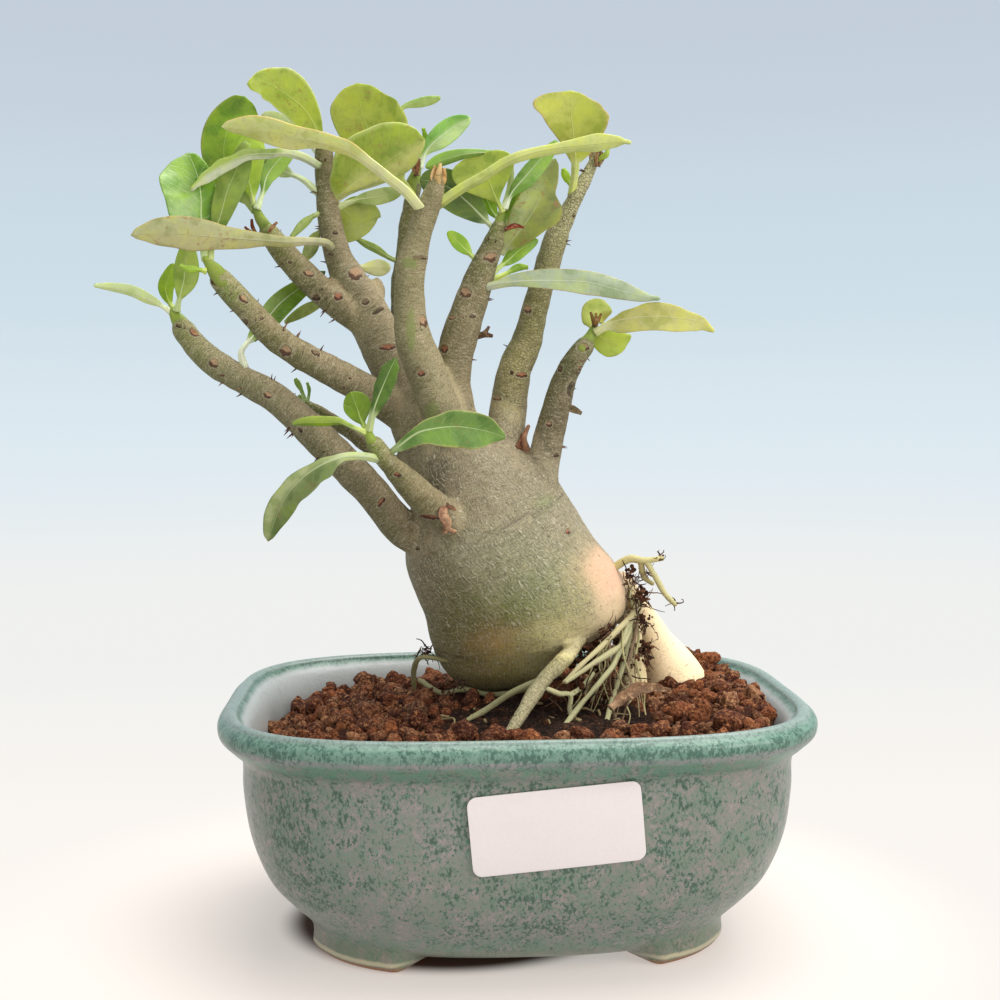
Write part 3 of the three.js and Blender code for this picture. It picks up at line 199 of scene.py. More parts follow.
# Leaves of each CAD node.
LEAVES = {
    "tuft_low_left": [
        Leaf([(-85.5, 157, 4), (-88.5, 159, 3), (-91.5, 160.5, 1), (-95.5, 162.5, -1), (-100.5, 163.5, -3),
            (-105, 164, -5)],
            1.3, 1.5, 0.45, 0.15, 35, 0, UNDER, "#ccd8a0 #d6e2b0 #e2e7c0 #b8c680", 0.35, 0.1, 0),
        Leaf([(-85, 157.5, 5), (-86.5, 160.5, 6), (-87, 163.5, 7), (-86, 166.5, 7), (-85, 169.5, 7)],
            2.1, 2.3, 0.5, 0.12, 10, 20, UPPER, "#7c981e #88a428 #b0c060 #7c981e", 0.7, 0.3, 0),
        Leaf([(-84.5, 157.5, 3), (-83.5, 161.5, 2), (-82.5, 165.5, 1), (-82, 170, -1), (-81.5, 175.5, -3)],
            2.8, 3.6, 0.55, 0.15, 0, 15, UPPER, "#8fa44e #a0b25c #c0d090 #8a9c48", 0.5, 0.4, 0),
    ],
    "tuft_mid_left": [
        # The right half's darker colour (#5f8430) is painted shade: that half lies in shade.
        Leaf([(-77, 170, -16), (-77.5, 175.5, -15), (-78, 181, -14), (-78, 186.5, -13), (-79, 192, -12),
            (-81, 197, -11)],
            9.2, 3.7, 0.62, 0.12, -12, 10, UPPER, "#88a662 #5f8430 #c0d098 #7c9c42", 1, 0.6, 0.1,
            (1, 4.5, 6.5, 7.6, 8.4, 9, 9.2, 9.2, 8.6, 7.4), (1, 2, 3, 3.5, 3.8, 4, 4, 3.8, 3.4, 3)),
        Leaf([(-76, 170, -16), (-75, 175.5, -15), (-73, 181.5, -14), (-71, 188, -12.5), (-68.5, 193.5, -11),
            (-66.5, 200, -9)],
            3.2, 3.5, 0.55, 0.15, 20, 20, UPPER, "#76883c #84984a #a9b478 #74853c", 0.5, 0.35, 0.1),
        Leaf([(-77, 167.5, -17), (-79.5, 168, -18.5), (-81.5, 168, -19), (-83.5, 169, -18.5)],
            0.9, 0.9, 0.5, 0.1, 0, 0, UPPER, "#8aa83a #8aa83a #b3c266 #8aa83a", 0.6, 0.2, 0),
    ],
    "tuft_upper_left": [
        Leaf([(-64.5, 182.5, 1), (-67.5, 186.5, 3), (-70.5, 191, 5), (-72, 197, 6), (-71, 202.5, 7),
            (-68.5, 207, 8), (-66.5, 211, 8)],
            5.7, 5.5, 0.6, 0.1, 10, 10, UNDER, "#6f8e1c #86a62c #a8b860 #8a8a3a", 0.6, 0.35, 0.2,
            (1, 2.5, 3.5, 5, 5.5, 6, 6, 5.6, 5, 4.2), (1.2, 4.5, 6, 7, 7.5, 7.5, 7.2, 6.8, 6.2, 5)),
        Leaf([(-64.5, 183, 0), (-65.5, 188, 0), (-66.5, 193, 0), (-65.5, 199, 0.5), (-64, 203, 1)],
            3.3, 4.4, 0.55, 0.1, 0, 10, UNDER, "#93ad3c #9eb73f #c0cc80 #8fa839", 0.5, 0.35, 0),
        Leaf([(-64, 183, -1), (-62.5, 187, 0), (-61.5, 191, 0.5), (-59.5, 194, 1), (-57, 196.5, 1.5),
            (-53.5, 198.5, 2)],
            2.1, 2.8, 0.55, 0.15, 0, 15, UPPER, "#82a24e #8aaa56 #d2dfb2 #8aa856", 0.6, 0.4, 0),
    ],
    "tuft_behind_1": [
        Leaf([(-25, 186, 19), (-28, 190, 17), (-31.5, 195, 16), (-35, 201, 15), (-37.5, 207.5, 14),
            (-38.5, 214.5, 12)],
            8.8, 9.6, 0.62, 0.2, 0, 5, UNDER, "#9ca444 #98a43e #b4bc66 #a3a852", 0.35, 0.25, 0.6,
            (1, 2, 3, 4, 5.5, 6.5, 7.5, 8, 8, 6.5), (1.5, 4, 6.5, 8.5, 9.5, 10.5, 10.5, 10, 9.5, 7)),
    ],
    "tuft_behind_2": [
        Leaf([(-23.5, 193.5, 22), (-27, 198.5, 23), (-29, 204, 24), (-27, 208.5, 24.5), (-22.5, 210, 24.5),
            (-17.5, 211, 24)],
            1.1, 1.6, 0.7, 0.45, 0, 0, UNDER, "#9db36a #abb978 #c4cf98 #9db36a", 0.6, 0.2, 0),
        Leaf([(-23, 193.5, 21), (-21, 198, 21), (-18, 201, 20), (-14, 204, 20), (-10, 206, 19)],
            3, 3.2, 0.55, 0.12, 0, 20, UPPER, "#8fbe6c #bfd69c #e4eed4 #8aba60", 0.85, 0.8, 0),
        Leaf([(-23, 194, 22), (-22, 198, 23), (-21.5, 201, 23), (-22, 203.5, 22)],
            0.8, 0.8, 0.5, 0.2, 0, 0, UPPER, "#8aa83a #8aa83a #b3c266 #8aa83a", 0.6, 0.2, 0),
    ],
    "tuft_middle": [
        Leaf([(-2, 182.5, -1), (-3.5, 185.5, -2), (-5.5, 190.5, -3), (-7.5, 197.5, -3)],
            8.7, 7.6, 0.78, 0.12, 0, 8, UNDER, "#98a546 #96a642 #bcc474 #9aa548", 0.4, 0.3, 0.05),
        Leaf([(-1.5, 183, 2), (0, 189, 4), (0, 194.5, 3), (-3, 197, -1), (-11, 197, -5), (-17, 195.5, -6),
            (-21.5, 193.5, -7)],
            1.5, 1.8, 0.7, 0.4, 0, 0, UPPER, "#67843c #76964c #b9c888 #7f9a48", 0.9, 0.3, 0),
        Leaf([(-1.5, 183.5, -1), (0.5, 187.5, -3), (3.5, 191, -5), (7.5, 195.5, -6), (12, 200.5, -6)],
            2, 2.8, 0.55, 0.12, 0, 15, UPPER, "#789a48 #8cae5a #e0e8cc #84a452", 0.85, 0.5, 0),
        Leaf([(-3.5, 177.5, 1), (-7, 181, 2), (-11, 185, 2), (-15.5, 188.5, 1), (-19.5, 190, 0),
            (-23, 190.5, 0)],
            5.1, 4.6, 0.5, 0.12, 0, 12, UPPER, "#566c34 #627a3c #c0ca9c #6a7e3a", 0.5, 0.4, 0.2),
        Leaf([(-2.5, 180, 2), (-4.5, 182.5, 4), (-6, 185.5, 5), (-7.5, 188.5, 5)],
            1.6, 1.8, 0.5, 0.1, 0, 10, UPPER, "#6d8f2c #7d9f38 #b9c888 #6d8f2c", 0.8, 0.4, 0),
        Leaf([(-2.5, 178, 2), (0, 181.5, 4), (2, 186, 5), (4.5, 191, 5)],
            2.1, 2.1, 0.5, 0.1, 0, 10, UPPER, "#7e9e34 #8cac42 #c4d290 #7e9e34", 0.7, 0.4, 0),
    ],
    "tuft_low_right": [
        Leaf([(21.5, 152, -5), (26, 154.5, -7), (30.5, 155.5, -9), (37, 156, -11), (43.5, 155.5, -12),
            (49, 154.5, -12), (52.5, 152, -12)],
            3.5, 3.3, 0.5, 0.1, 0, 8, UNDER, "#bcb874 #bcba78 #d2d2a0 #b8ac6c", 0.35, 0.3, 0.15,
            (0.8, 1, 2, 2.5, 3.5, 3.5, 3, 2, 1.5, 1), (1.2, 3, 3.5, 3.5, 3.5, 3.5, 3.5, 3, 2.5, 1.5)),
        Leaf([(21.5, 152.5, -3), (21, 155, 0), (22.5, 157, 2), (26, 157.5, 3)],
            2.1, 1.5, 0.5, 0.1, 0, 0, UNDER, "#a3ad58 #979448 #bcc072 #a09a52", 0.4, 0.25, 0.4,
            (1, 1.5, 2.5, 3, 3.5, 4, 4, 3.6, 3, 2), (1, 1.5, 2.2, 2.8, 3, 3.4, 3.4, 3, 2.4, 1.6)),
        Leaf([(21.5, 152.5, -3), (23.5, 150.5, 0), (26, 150, 1), (31, 151, 2)],
            1.3, 1.8, 0.5, 0.1, 0, 0, UNDER, "#a0ae42 #a3b248 #bec86c #a3b23e", 0.5, 0.3, 0.1,
            (0.8, 1.5, 2, 2.5, 2.6, 2.8, 2.6, 2.2, 1.8, 1.2), (0.8, 2, 3, 3.6, 4, 4.4, 4.4, 4, 3.2, 2)),
    ],
    "tuft_short": [
        Leaf([(-37, 126.5, -26), (-40.5, 128, -28), (-44, 129.5, -29), (-47.5, 129.5, -29), (-52, 129.5, -29),
            (-56, 129, -28)],
            1.1, 1.3, 0.6, 0.15, 35, 0, UPPER, "#7f9a34 #95a84e #b9c67c #8a9c40", 0.6, 0.4, 0.1),
        Leaf([(-37, 127, -26), (-38.5, 130, -26), (-39.5, 133, -25), (-41, 137, -24)],
            3.1, 3.6, 0.6, 0.15, 0, 8, UPPER, "#5f7824 #6c862e #a4b464 #6a8426", 0.85, 0.6, 0.05),
        Leaf([(-36.5, 127, -26.5), (-35, 133, -28), (-33, 138, -27), (-31, 142.5, -26), (-29.5, 145.5, -25)],
            2.1, 2.4, 0.62, 0.15, 0, 12, UPPER, "#3f5a1c #4a661f #aebc88 #4c661f", 0.45, 0.35, 0,
            (0.8, 1, 1, 1.5, 2, 2, 2, 2, 1.5, 1), (0.8, 1.5, 2, 2.5, 2.5, 2.5, 2.5, 2, 2, 1.3)),
    ],
    "tuft_twig": [
        Leaf([(-52.5, 134.5, 13.5), (-53.5, 137.5, 13), (-54.5, 139.5, 13), (-55, 140.5, 13)],
            0.8, 0.8, 0.5, 0.2, 0, 0, UPPER, "#7fa044 #7fa044 #a9be7c #7fa044", 0.5, 0.2, 0),
        Leaf([(-52, 134, 14), (-51.5, 137.5, 14.5), (-52, 139.5, 14.5)],
            0.5, 0.5, 0.5, 0.2, 0, 0, UPPER, "#7fa044 #7fa044 #a9be7c #7fa044", 0.5, 0.2, 0),
    ],
    "leaf_middle_1": [
        Leaf([(-2.5, 172, 0), (0.5, 175.5, -2), (4, 180, -3), (7, 185, -3), (9, 190.5, -2), (11.5, 196, -1)],
            4.6, 6.1, 0.6, 0.08, 0, -10, UNDER, "#98a070 #747c3c #a2a878 #8e8848", 0.4, 0.3, 1,
            (1, 2.5, 3.5, 4.5, 5, 5, 5, 5, 4.5, 3), (1, 2.5, 3.5, 4.5, 5.5, 7, 6.5, 3.5, 3.2, 2.5)),
    ],
    "leaf_middle_2": [
        Leaf([(-8, 169.5, 0), (-11, 172.5, 0), (-13.5, 175, 0), (-16, 177.5, 0)],
            1.8, 2.1, 0.5, 0.2, 0, 18, UPPER, "#93b43a #9dbc46 #bcd07a #93b43a", 0.7, 0.3, 0),
    ],
    "leaf_middle_3": [
        Leaf([(-5, 167, 1), (-1, 170, 3), (2.5, 173, 4), (7, 175.5, 5)],
            2.1, 2.1, 0.5, 0.2, 0, 12, UPPER, "#6f9024 #7c9c36 #c0d284 #7a9c30", 0.7, 0.3, 0),
    ],
    "leaf_middle_4": [
        Leaf([(-5.5, 165, 2), (-1, 167, 5), (2, 168.5, 6.5), (4.5, 168.5, 7)],
            1, 1, 0.5, 0.3, 0, 0, UNDER, "#8aa83a #8aa83a #b3c266 #8aa83a", 0.6, 0.2, 0),
    ],
    "leaf_middle_5": [
        Leaf([(-6.5, 163.5, -3), (-1.5, 164.5, -6), (5, 165, -8), (12.5, 165, -9), (20.5, 164.5, -10),
            (28, 162.5, -11), (34.5, 161, -12), (38.5, 160.5, -12)],
            3, 2.8, 0.58, 0.1, 15, 12, UPPER, "#a4b09a #9aa68c #bac0a4 #a89a78", 0.5, 0.35, 0.4,
            (1, 2, 2.5, 3, 3, 3, 3, 2.5, 1.5, 0.7), (1, 1, 1.5, 2, 2.5, 3, 2.5, 2, 1.5, 0.9)),
    ],
    "leaf_front_1": [
        Leaf([(-22, 182, -17.5), (-26.5, 187.5, -20), (-31, 191, -20), (-35.5, 194.5, -19.5), (-41, 198, -19),
            (-47.5, 200, -18), (-55.5, 201.5, -17), (-64, 203, -16), (-72.5, 203.5, -15)],
            2.9, 2.8, 0.68, 0.38, 50, 0, UNDER, "#dedb98 #dadc9c #e4e4ac #dcc484", 0.35, 0.25, 0.3,
            (1.2, 1.3, 1.6, 2, 2, 2.5, 3, 3, 2.8, 2), (1.2, 1.5, 1.8, 1.8, 2, 2.2, 2.6, 3, 2.9, 2.2)),
    ],
    "leaf_front_2": [
        Leaf([(-19, 184, -17.5), (-12.5, 188.5, -18.5), (-7, 191.5, -18.5), (-1.5, 195, -18), (5, 197.5, -17),
            (12.5, 199, -16), (21.5, 200, -15), (27.5, 200.5, -14), (31, 200, -14)],
            2, 2, 0.6, 0.4, -45, 0, UNDER, "#d0d68c #ced488 #b4bc6c #c4c878", 0.4, 0.2, 0.1,
            (1, 1, 0.8, 0.8, 1, 1.5, 2, 1.5, 1, 0.5), (1.4, 1.6, 1.8, 2, 2, 2, 2.5, 2, 1.5, 0.7)),
    ],
    "leaf_stem_1": [
        Leaf([(-47.5, 197, 9), (-48.5, 202, 7), (-51.5, 207.5, 4), (-57, 212, 0), (-62, 214.5, -3),
            (-66, 214, -5)],
            4.1, 5.4, 0.6, 0.12, 0, 5, UNDER, "#9eac48 #9caa48 #bcc46c #c8cc92", 0.35, 0.35, 0.6,
            (0.8, 2, 3.5, 4.5, 4.5, 4.5, 4, 4, 3.5, 2.8), (0.8, 1.5, 2.5, 3.5, 5, 6, 6, 4.5, 3, 1.8)),
    ],
    "leaf_stem_2": [
        Leaf([(-45, 185, 9), (-42, 187.5, 5), (-37.5, 191, 3), (-32, 194.5, 1), (-26.5, 198, 0),
            (-21.5, 200.5, -1)],
            9.8, 3.9, 0.5, 0.06, 0, -8, UNDER, "#889838 #b8ba74 #c2ca86 #b6bc78", 0.35, 0.35, 0.5,
            (1.5, 4.5, 6.5, 9, 10, 10, 9.5, 9, 7.5, 6), (0.5, 0.5, 1, 2, 2.5, 3.5, 4.5, 5, 4.5, 3)),
    ],
    "leaf_stem_3": [
        Leaf([(-48, 193.5, 8), (-52.5, 196, -3), (-56.5, 197, -8), (-60.5, 197, -11), (-66.5, 196.5, -14),
            (-72.5, 194, -15), (-77, 191, -16), (-80.5, 187.5, -17)],
            1.5, 1.5, 0.5, 0.3, 20, 15, UPPER, "#b3b9a2 #98aa66 #c4cba8 #8fa04c", 0.55, 0.3, 0.1,
            (1, 1.2, 1.5, 1.5, 1.5, 2, 2, 2, 1.8, 1), (1, 1, 1, 1, 1.5, 1, 1.5, 1, 1, 0.5)),
    ],
    "leaf_stem_4": [
        Leaf([(-45, 172.5, 8), (-46.5, 174.5, 1), (-50.5, 175, -5), (-57, 175, -9), (-64.5, 175.5, -14),
            (-72, 176, -19), (-78.5, 176.5, -22), (-84.5, 177, -24), (-90.5, 177, -25), (-95.5, 176.5, -26)],
            3.8, 4.2, 0.68, 0.25, 15, 0, UNDER, "#b0aa80 #a8a880 #b8b490 #a89462", 0.35, 0.2, 1,
            (1, 1.5, 1.5, 2.5, 3, 3.5, 4, 3.5, 3, 2), (1, 1.2, 1.5, 2, 2.5, 3.5, 4, 4, 3.5, 2.5)),
    ],
    "leaf_stem_5": [
        Leaf([(-48, 186.5, 9), (-52.5, 190.5, 7), (-56, 192, 6.5), (-59.5, 194, 6.5), (-62, 197, 6.5)],
            2.1, 2.1, 0.5, 0.4, 0, 10, UPPER, "#a2b07c #a8b684 #c0caa4 #98a86c", 0.5, 0.3, 0.1),
    ],
    "leaf_stem_6": [
        Leaf([(-47, 182.5, 8.5), (-50.5, 181, 6), (-53, 179, 4), (-55.5, 176, 2)],
            1.3, 1, 0.5, 0.2, 0, 0, UPPER, "#8a9a56 #8a9a56 #a9b478 #8a9a56", 0.4, 0.2, 0),
    ],
    "leaf_stem_7": [
        Leaf([(-46.5, 179.5, 10), (-49, 176.5, 10.5), (-50.5, 173, 10.5), (-52.5, 170, 10)],
            1.6, 2.1, 0.5, 0.2, 0, 0, UNDER, "#9aa46a #9aa46a #b0b684 #9aa46a", 0.4, 0.2, 0.1),
    ],
    "leaf_stem_8": [
        Leaf([(-44, 184, 10), (-41, 181.5, 14), (-40, 178.5, 15.5), (-38.5, 175.5, 16)],
            7.7, 1.3, 0.5, 0.05, 0, 5, UNDER, "#a2ac60 #9ca65a #acb26e #97a254", 0.35, 0.3, 0.2,
            (1, 4, 6, 7.2, 8, 8, 7.8, 7.2, 6.4, 5.4), (1, 3, 4.4, 5.4, 5.8, 5.8, 5.6, 5.2, 4.8, 4.2)),
    ],
    "leaf_stem_9": [
        Leaf([(-41, 169, 10), (-37, 168.5, 14), (-33.5, 168.5, 15), (-30.5, 168.5, 15)],
            2.1, 2.4, 0.6, 0.15, 0, 0, UNDER, "#c4c498 #c6c69a #d0cea8 #b2ae80", 0.35, 0.2, 0.1),
    ],
    "leaf_behind_1": [
        Leaf([(-27.5, 169.5, 19), (-31, 171, 18), (-34, 173, 18), (-37, 174.5, 18), (-39.5, 176, 18)],
            1.1, 1.1, 0.5, 0.15, 0, 0, UPPER, "#8a9a50 #8a9a50 #a9b478 #8a9a50", 0.4, 0.2, 0),
    ],
    "leaf_stem_10": [
        Leaf([(-44, 185.5, 8.5), (-40, 187.5, 7.5), (-36, 189, 7), (-31.5, 190.5, 7), (-28.5, 191.5, 7)],
            0.8, 0.8, 0.5, 0.2, 0, 0, UPPER, "#b4b880 #b4b880 #c2c490 #b4b880", 0.4, 0.1, 0),
    ],
    "leaf_stem_11": [
        Leaf([(-44, 183.5, 8.5), (-38.5, 185.5, 9.5), (-34.5, 186, 10), (-30, 187, 10.5),
            (-27.5, 187.5, 10.5)],
            2.1, 2.1, 0.5, 0.15, 0, 12, UPPER, "#a9b47c #a2ae70 #bcc490 #a2ae70", 0.4, 0.2, 0),
    ],
    "leaf_stem_12": [
        Leaf([(-48, 196.5, 10), (-51.5, 200, 13), (-55.5, 202.5, 13), (-59, 205, 13), (-62.5, 206.5, 12)],
            3.2, 2.4, 0.6, 0.15, 0, 10, UPPER, "#bcc8a0 #ccd4ae #d6dcc0 #9aa678", 0.7, 0.3, 0.1),
    ],
    "leaf_low_left_1": [
        Leaf([(-67.5, 143, -3), (-68.5, 147, -2), (-66.5, 150, 0), (-63, 154, 3), (-59, 159, 6),
            (-54, 163, 9), (-47, 167.5, 11)],
            2.8, 3.4, 0.5, 0.3, 0, 18, UPPER, "#6f8838 #5c7a2c #dfe4c8 #6f8838", 0.6, 0.4, 0.1),
    ],
    "leaf_upper_left_1": [
        Leaf([(-44.5, 160, 6), (-49, 159, 10.5), (-53, 157, 12), (-57.5, 154.5, 12)],
            1.3, 1.8, 0.5, 0.15, 0, 0, UNDER, "#9aa65a #9aa65a #b4ba7c #9aa65a", 0.4, 0.2, 0),
    ],
    "leaf_short_1": [
        Leaf([(-32, 120.5, -22), (-29, 123, -26.5), (-24, 126.5, -27.5), (-20, 127.5, -27), (-14.5, 128, -26),
            (-10, 127.5, -25), (-5.5, 126.5, -24), (-1.5, 125, -23)],
            4.1, 5, 0.6, 0.1, 0, 10, UPPER, "#62803f #648440 #b0c088 #a9a468", 0.45, 0.55, 0.3,
            (0.8, 1, 1.5, 2.5, 3, 4, 4, 4, 3.5, 2.3), (0.8, 2, 3, 3.5, 4.5, 5, 5, 5, 4, 2.3)),
    ],
    "leaf_short_2": [
        Leaf([(-33, 119.5, -24), (-37.5, 120.5, -28.5), (-42.5, 120.5, -30), (-47.5, 119, -31),
            (-52.5, 116, -31), (-57, 111.5, -30), (-60, 106, -28), (-62.5, 99, -25)],
            3.6, 3.6, 0.6, 0.3, 0, 12, UPPER, "#6a7a4a #a0a87c #b0ba8c #7d8656", 0.4, 0.4, 0.3,
            (1, 2, 3.5, 3.5, 4, 4, 3.5, 3.5, 3, 2), (1, 1, 1.5, 1.5, 2, 2.5, 2.5, 3, 3, 2.5)),
    ],
    "leaf_right_1": [
        Leaf([(15.5, 186.5, 8), (16.5, 192.5, 4), (16.5, 198, 1), (16, 203, -2), (15.5, 208, -4),
            (15.5, 213, -5)],
            10.3, 9.8, 0.78, 0.28, 0, 5, UNDER, "#b8ba60 #aeb456 #c6cc80 #c0a870", 0.4, 0.3, 0.15,
            (1, 2, 3, 3.5, 4.5, 5.5, 6.5, 7.5, 9.5, 9.5), (1, 3.5, 5, 7, 8, 9, 9.5, 8.5, 7.5, 5)),
    ],
    "leaf_right_2": [
        Leaf([(17, 187.5, 9), (15, 190, 11), (14, 192, 11), (13.5, 193.5, 11)],
            1.1, 1.1, 0.5, 0.2, 0, 0, UNDER, "#9cbc3c #9cbc3c #b9cc6c #9cbc3c", 0.6, 0.2, 0),
    ],
    "leaf_right_3": [
        Leaf([(21.5, 195, 8), (23, 196, 6), (24.5, 197, 5), (25, 198.5, 5)],
            0.8, 0.8, 0.5, 0.2, 0, 0, UNDER, "#9cb04c #9cb04c #b9c878 #9cb04c", 0.5, 0.2, 0),
    ],
}
DRY_LEAF = Leaf([(25.5, 54.4, -24), (29.5, 57.8, -22), (34.5, 60, -18.5), (41.5, 58.8, -15)],
                2.2, 3.2, 0.5, 0.1, 12, 42, UPPER, "#7a5a44 #5f4434 #9a7a5c #4f3022", 0.2, 0.3, 0.3,
                (0.6, 1.2, 1.4, 1.1, 1.5, 1.6, 1.2, 0.9, 1.1, 0.6),
                (0.6, 1.2, 1.6, 2, 1.6, 2.1, 1.8, 1.2, 1, 0.8))


# ---- curves, noise and shells ----
def smooth(x, low, high):
    """Eased step: 0 below low, 1 above high, 3t^2 - 2t^3 between."""
    t = np.clip((x - low) / (high - low), 0, 1)
    return t * t * (3 - 2 * t)


def between(first, second, share):
    """A mix of first and second, the second's part being the share."""
    return first * (1 - share) + second * share


def turns(count):
    """Angles at even steps round a circle, the first half a step from 0."""
    return 2 * np.pi * (np.arange(count) + 0.5) / count


def run_along(points):
    """Length run from the first point to each point of a chain."""
    return np.concatenate([[0], np.cumsum(np.linalg.norm(np.diff(points, axis=0), axis=1))])


def unit(vectors):
    """The vectors at length 1."""
    return vectors / np.maximum(np.linalg.norm(vectors, axis=-1, keepdims=True), 1e-9)


def seen(points):
    """Real places (x, y, z, ...) of points (x, z, y, ...): each slides along its sight line to depth y."""
    p = np.asarray(points, float)
    on_plane = np.stack([p[:, 0], np.zeros(len(p)), p[:, 1]], axis=1)
    share = (p[:, 2:3] - EYE[1]) / -EYE[1]
    return np.hstack([EYE + (on_plane - EYE) * share, p[:, 3:]])


def spline(points, t):
    """Centripetal Catmull-Rom curve through points (x, y, z and further columns) at t from 0 to 1: a cubic
    on each span, its end slopes weighed by the square roots of the neighbouring spans' lengths."""
    p = np.asarray(points, float)
    last = len(p) - 1
    padded = np.vstack([2 * p[0] - p[1], p, 2 * p[-1] - p[-2]])
    place = np.clip(np.asarray(t, float), 0, 1) * last
    k = np.minimum(place.astype(int), last - 1)
    w = (place - k)[:, None]
    a, b, c, d = (padded[k + i] for i in range(4))
    ab, bc, cd = (np.sqrt(np.linalg.norm((end - start)[:, :3], axis=1))[:, None]
                  for start, end in ((a, b), (b, c), (c, d)))
    leave = ((b - a) / ab - (c - a) / (ab + bc) + (c - b) / bc) * bc
    arrive = ((c - b) / bc - (d - b) / (bc + cd) + (d - c) / cd) * bc
    square = 3 * c - 3 * b - 2 * leave - arrive
    cube = 2 * b - 2 * c + leave + arrive
    return b + leave * w + square * w**2 + cube * w**3


def evenly(points, count):
    """That many stations of the smooth curve through points or through a table's rows, at even steps."""
    return spline(points, np.linspace(0, 1, count))


def carried(centres, first=(0.35, 0.8, 0.49)):
    """Directions along a curve and two across it, carried from station to station without twist."""
    along = unit(np.gradient(centres, axis=0))
    side = np.array(first, float)
    sides = []
    for direction in along:
        side = unit(side - direction * side.dot(direction))
        sides.append(side)
    sides = np.array(sides)
    return along, sides, np.cross(along, sides)


def hashed(cells, seed):
    """A fixed random number from -1 to 1 for each lattice cell."""
    n = cells[..., 0] * 73856093 ^ cells[..., 1] * 19349663 ^ cells[..., 2] * 83492791 ^ (seed * 9176263)
    n = (n ^ (n >> 13)) * 1274126177
    n = (n ^ (n >> 16)) & 0xFFFFFF
    return n / 0x7FFFFF - 1


def noise(points, size, seed=0):
    """Smooth noise from -1 to 1: random numbers on a lattice of that size, eased between its corners."""
    q = np.asarray(points, float) / size
    cell = np.floor(q).astype(np.int64)
    w = q - cell
    w = w * w * (3 - 2 * w)
    total = 0
    for corner in np.ndindex(2, 2, 2):
        weight = np.prod(np.where(corner, w, 1 - w), axis=-1)
        total = total + hashed(cell + corner, seed) * weight
    return total


@dataclass
class Shell:
    """A mesh in the making: points (mm), faces of equal corner count, and marks, values kept per point."""
    points: np.ndarray
    faces: np.ndarray
    marks: dict = field(default_factory=dict)


def grid_quads(rows, cols):
    """Quads between neighbouring rings of points, numbered ring after ring."""
    i, j = np.meshgrid(np.arange(rows - 1), np.arange(cols), indexing="ij")
    k = (j + 1) % cols
    quads = np.stack([i * cols + j, i * cols + k, (i + 1) * cols + k, (i + 1) * cols + j], axis=-1)
    return quads.reshape(-1, 4)


def closed_grid(rings, **marks):
    """Closed shell through rings of points: quads between the rings, both end rings zipped shut."""
    rows, cols = rings.shape[:2]
    c = np.arange(cols // 2 - 1)
    cap = np.stack([c, cols - 1 - c, cols - 2 - c, c + 1], axis=-1)
    faces = np.vstack([grid_quads(rows, cols), cap, cap[:, ::-1] + (rows - 1) * cols])
    points = rings.reshape(-1, 3)
    p = points - points.mean(axis=0)
    a, b, c, d = (p[faces[:, n]] for n in range(4))
    volume = np.sum(a * (np.cross(b, c) + np.cross(c, d)))
    flat = {name: np.asarray(value, float).reshape((rows * cols,) + np.shape(value)[2:])
            for name, value in marks.items()}
    return Shell(points, faces if volume > 0 else faces[:, ::-1], flat)


def join(shells):
    """Several shells as one; a mark that a shell lacks is 0 there."""
    starts = np.cumsum([0] + [len(s.points) for s in shells[:-1]])
    names = sorted({name for s in shells for name in s.marks})
    shape = {name: next(s.marks[name].shape[1:] for s in shells if name in s.marks) for name in names}
    marks = {name: np.concatenate([s.marks.get(name, np.zeros((len(s.points),) + shape[name]))
                                   for s in shells]) for name in names}
    return Shell(np.concatenate([s.points for s in shells]),
                 np.concatenate([s.faces + start for s, start in zip(shells, starts)]), marks)


def normals_of(shell):
    """Outward unit normals of the points: the sum of the cross products of their quads' diagonals."""
    p, quads = shell.points, shell.faces
    across = np.cross(p[quads[:, 2]] - p[quads[:, 0]], p[quads[:, 3]] - p[quads[:, 1]])
    total = np.zeros_like(p)
    for corners in quads.T:
        np.add.at(total, corners, across)
    return unit(total)


DOME = np.array([0.95, 0.8, 0.5, 0.2])    # heights of a limb's end rings, as shares of its radius


def limb(points, sides, step=0.8, seed=None, **marks):
    """Round closed limb along a smooth curve through points (x, y, z, radius), with domed ends. A seed makes
    its girth uneven by noise. Its skin mark is the length run and two places across, in mm."""
    count = max(6, int(run_along(np.asarray(points)[:, :3])[-1] / step))
    curve = evenly(points, count)
    along, side, up = carried(curve[:, :3])
    girth = np.sqrt(1 - DOME**2)
    centres = np.vstack([curve[0, :3] - np.outer(DOME * curve[0, 3], along[0]), curve[:, :3],
                         curve[-1, :3] + np.outer(DOME[::-1] * curve[-1, 3], along[-1])])
    radii = np.concatenate([girth * curve[0, 3], curve[:, 3], girth[::-1] * curve[-1, 3]])
    station = np.clip(np.arange(len(radii)) - len(DOME), 0, count - 1)
    angle = turns(sides)
    ring = side[station, None] * np.cos(angle)[:, None] + up[station, None] * np.sin(angle)[:, None]
    rings = centres[:, None] + ring * radii[:, None, None]
    if seed is not None:
        uneven = noise(rings, 2.2, seed) * 0.16 + noise(rings, 5, seed + 3) * 0.12
        rings = rings + ring * (uneven * radii[:, None])[..., None]
    skin = np.stack([np.repeat(run_along(centres)[:, None], sides, axis=1), np.outer(radii, np.cos(angle)),
                     np.outer(radii, np.sin(angle))], axis=-1)
    full = {name: np.broadcast_to(value, rings.shape[:2] + np.shape(value)) for name, value in marks.items()}
    return closed_grid(rings, skin=skin, **full)


def strand(path, first, last, sides, step, seed=None, **marks):
    """Limb along a path of points (x, y, z) whose radius narrows evenly from first to last."""
    widths = np.linspace(first, last, len(path))[:, None]
    return limb(np.hstack([path, widths]), sides, step, seed, **marks)


def colour(code):
    """Linear red, green and blue of a hex colour."""
    srgb = np.array([int(code.lstrip("#")[k:k + 2], 16) for k in (0, 2, 4)]) / 255
    return np.where(srgb <= 0.04045, srgb / 12.92, ((srgb + 0.055) / 1.055) ** 2.4)


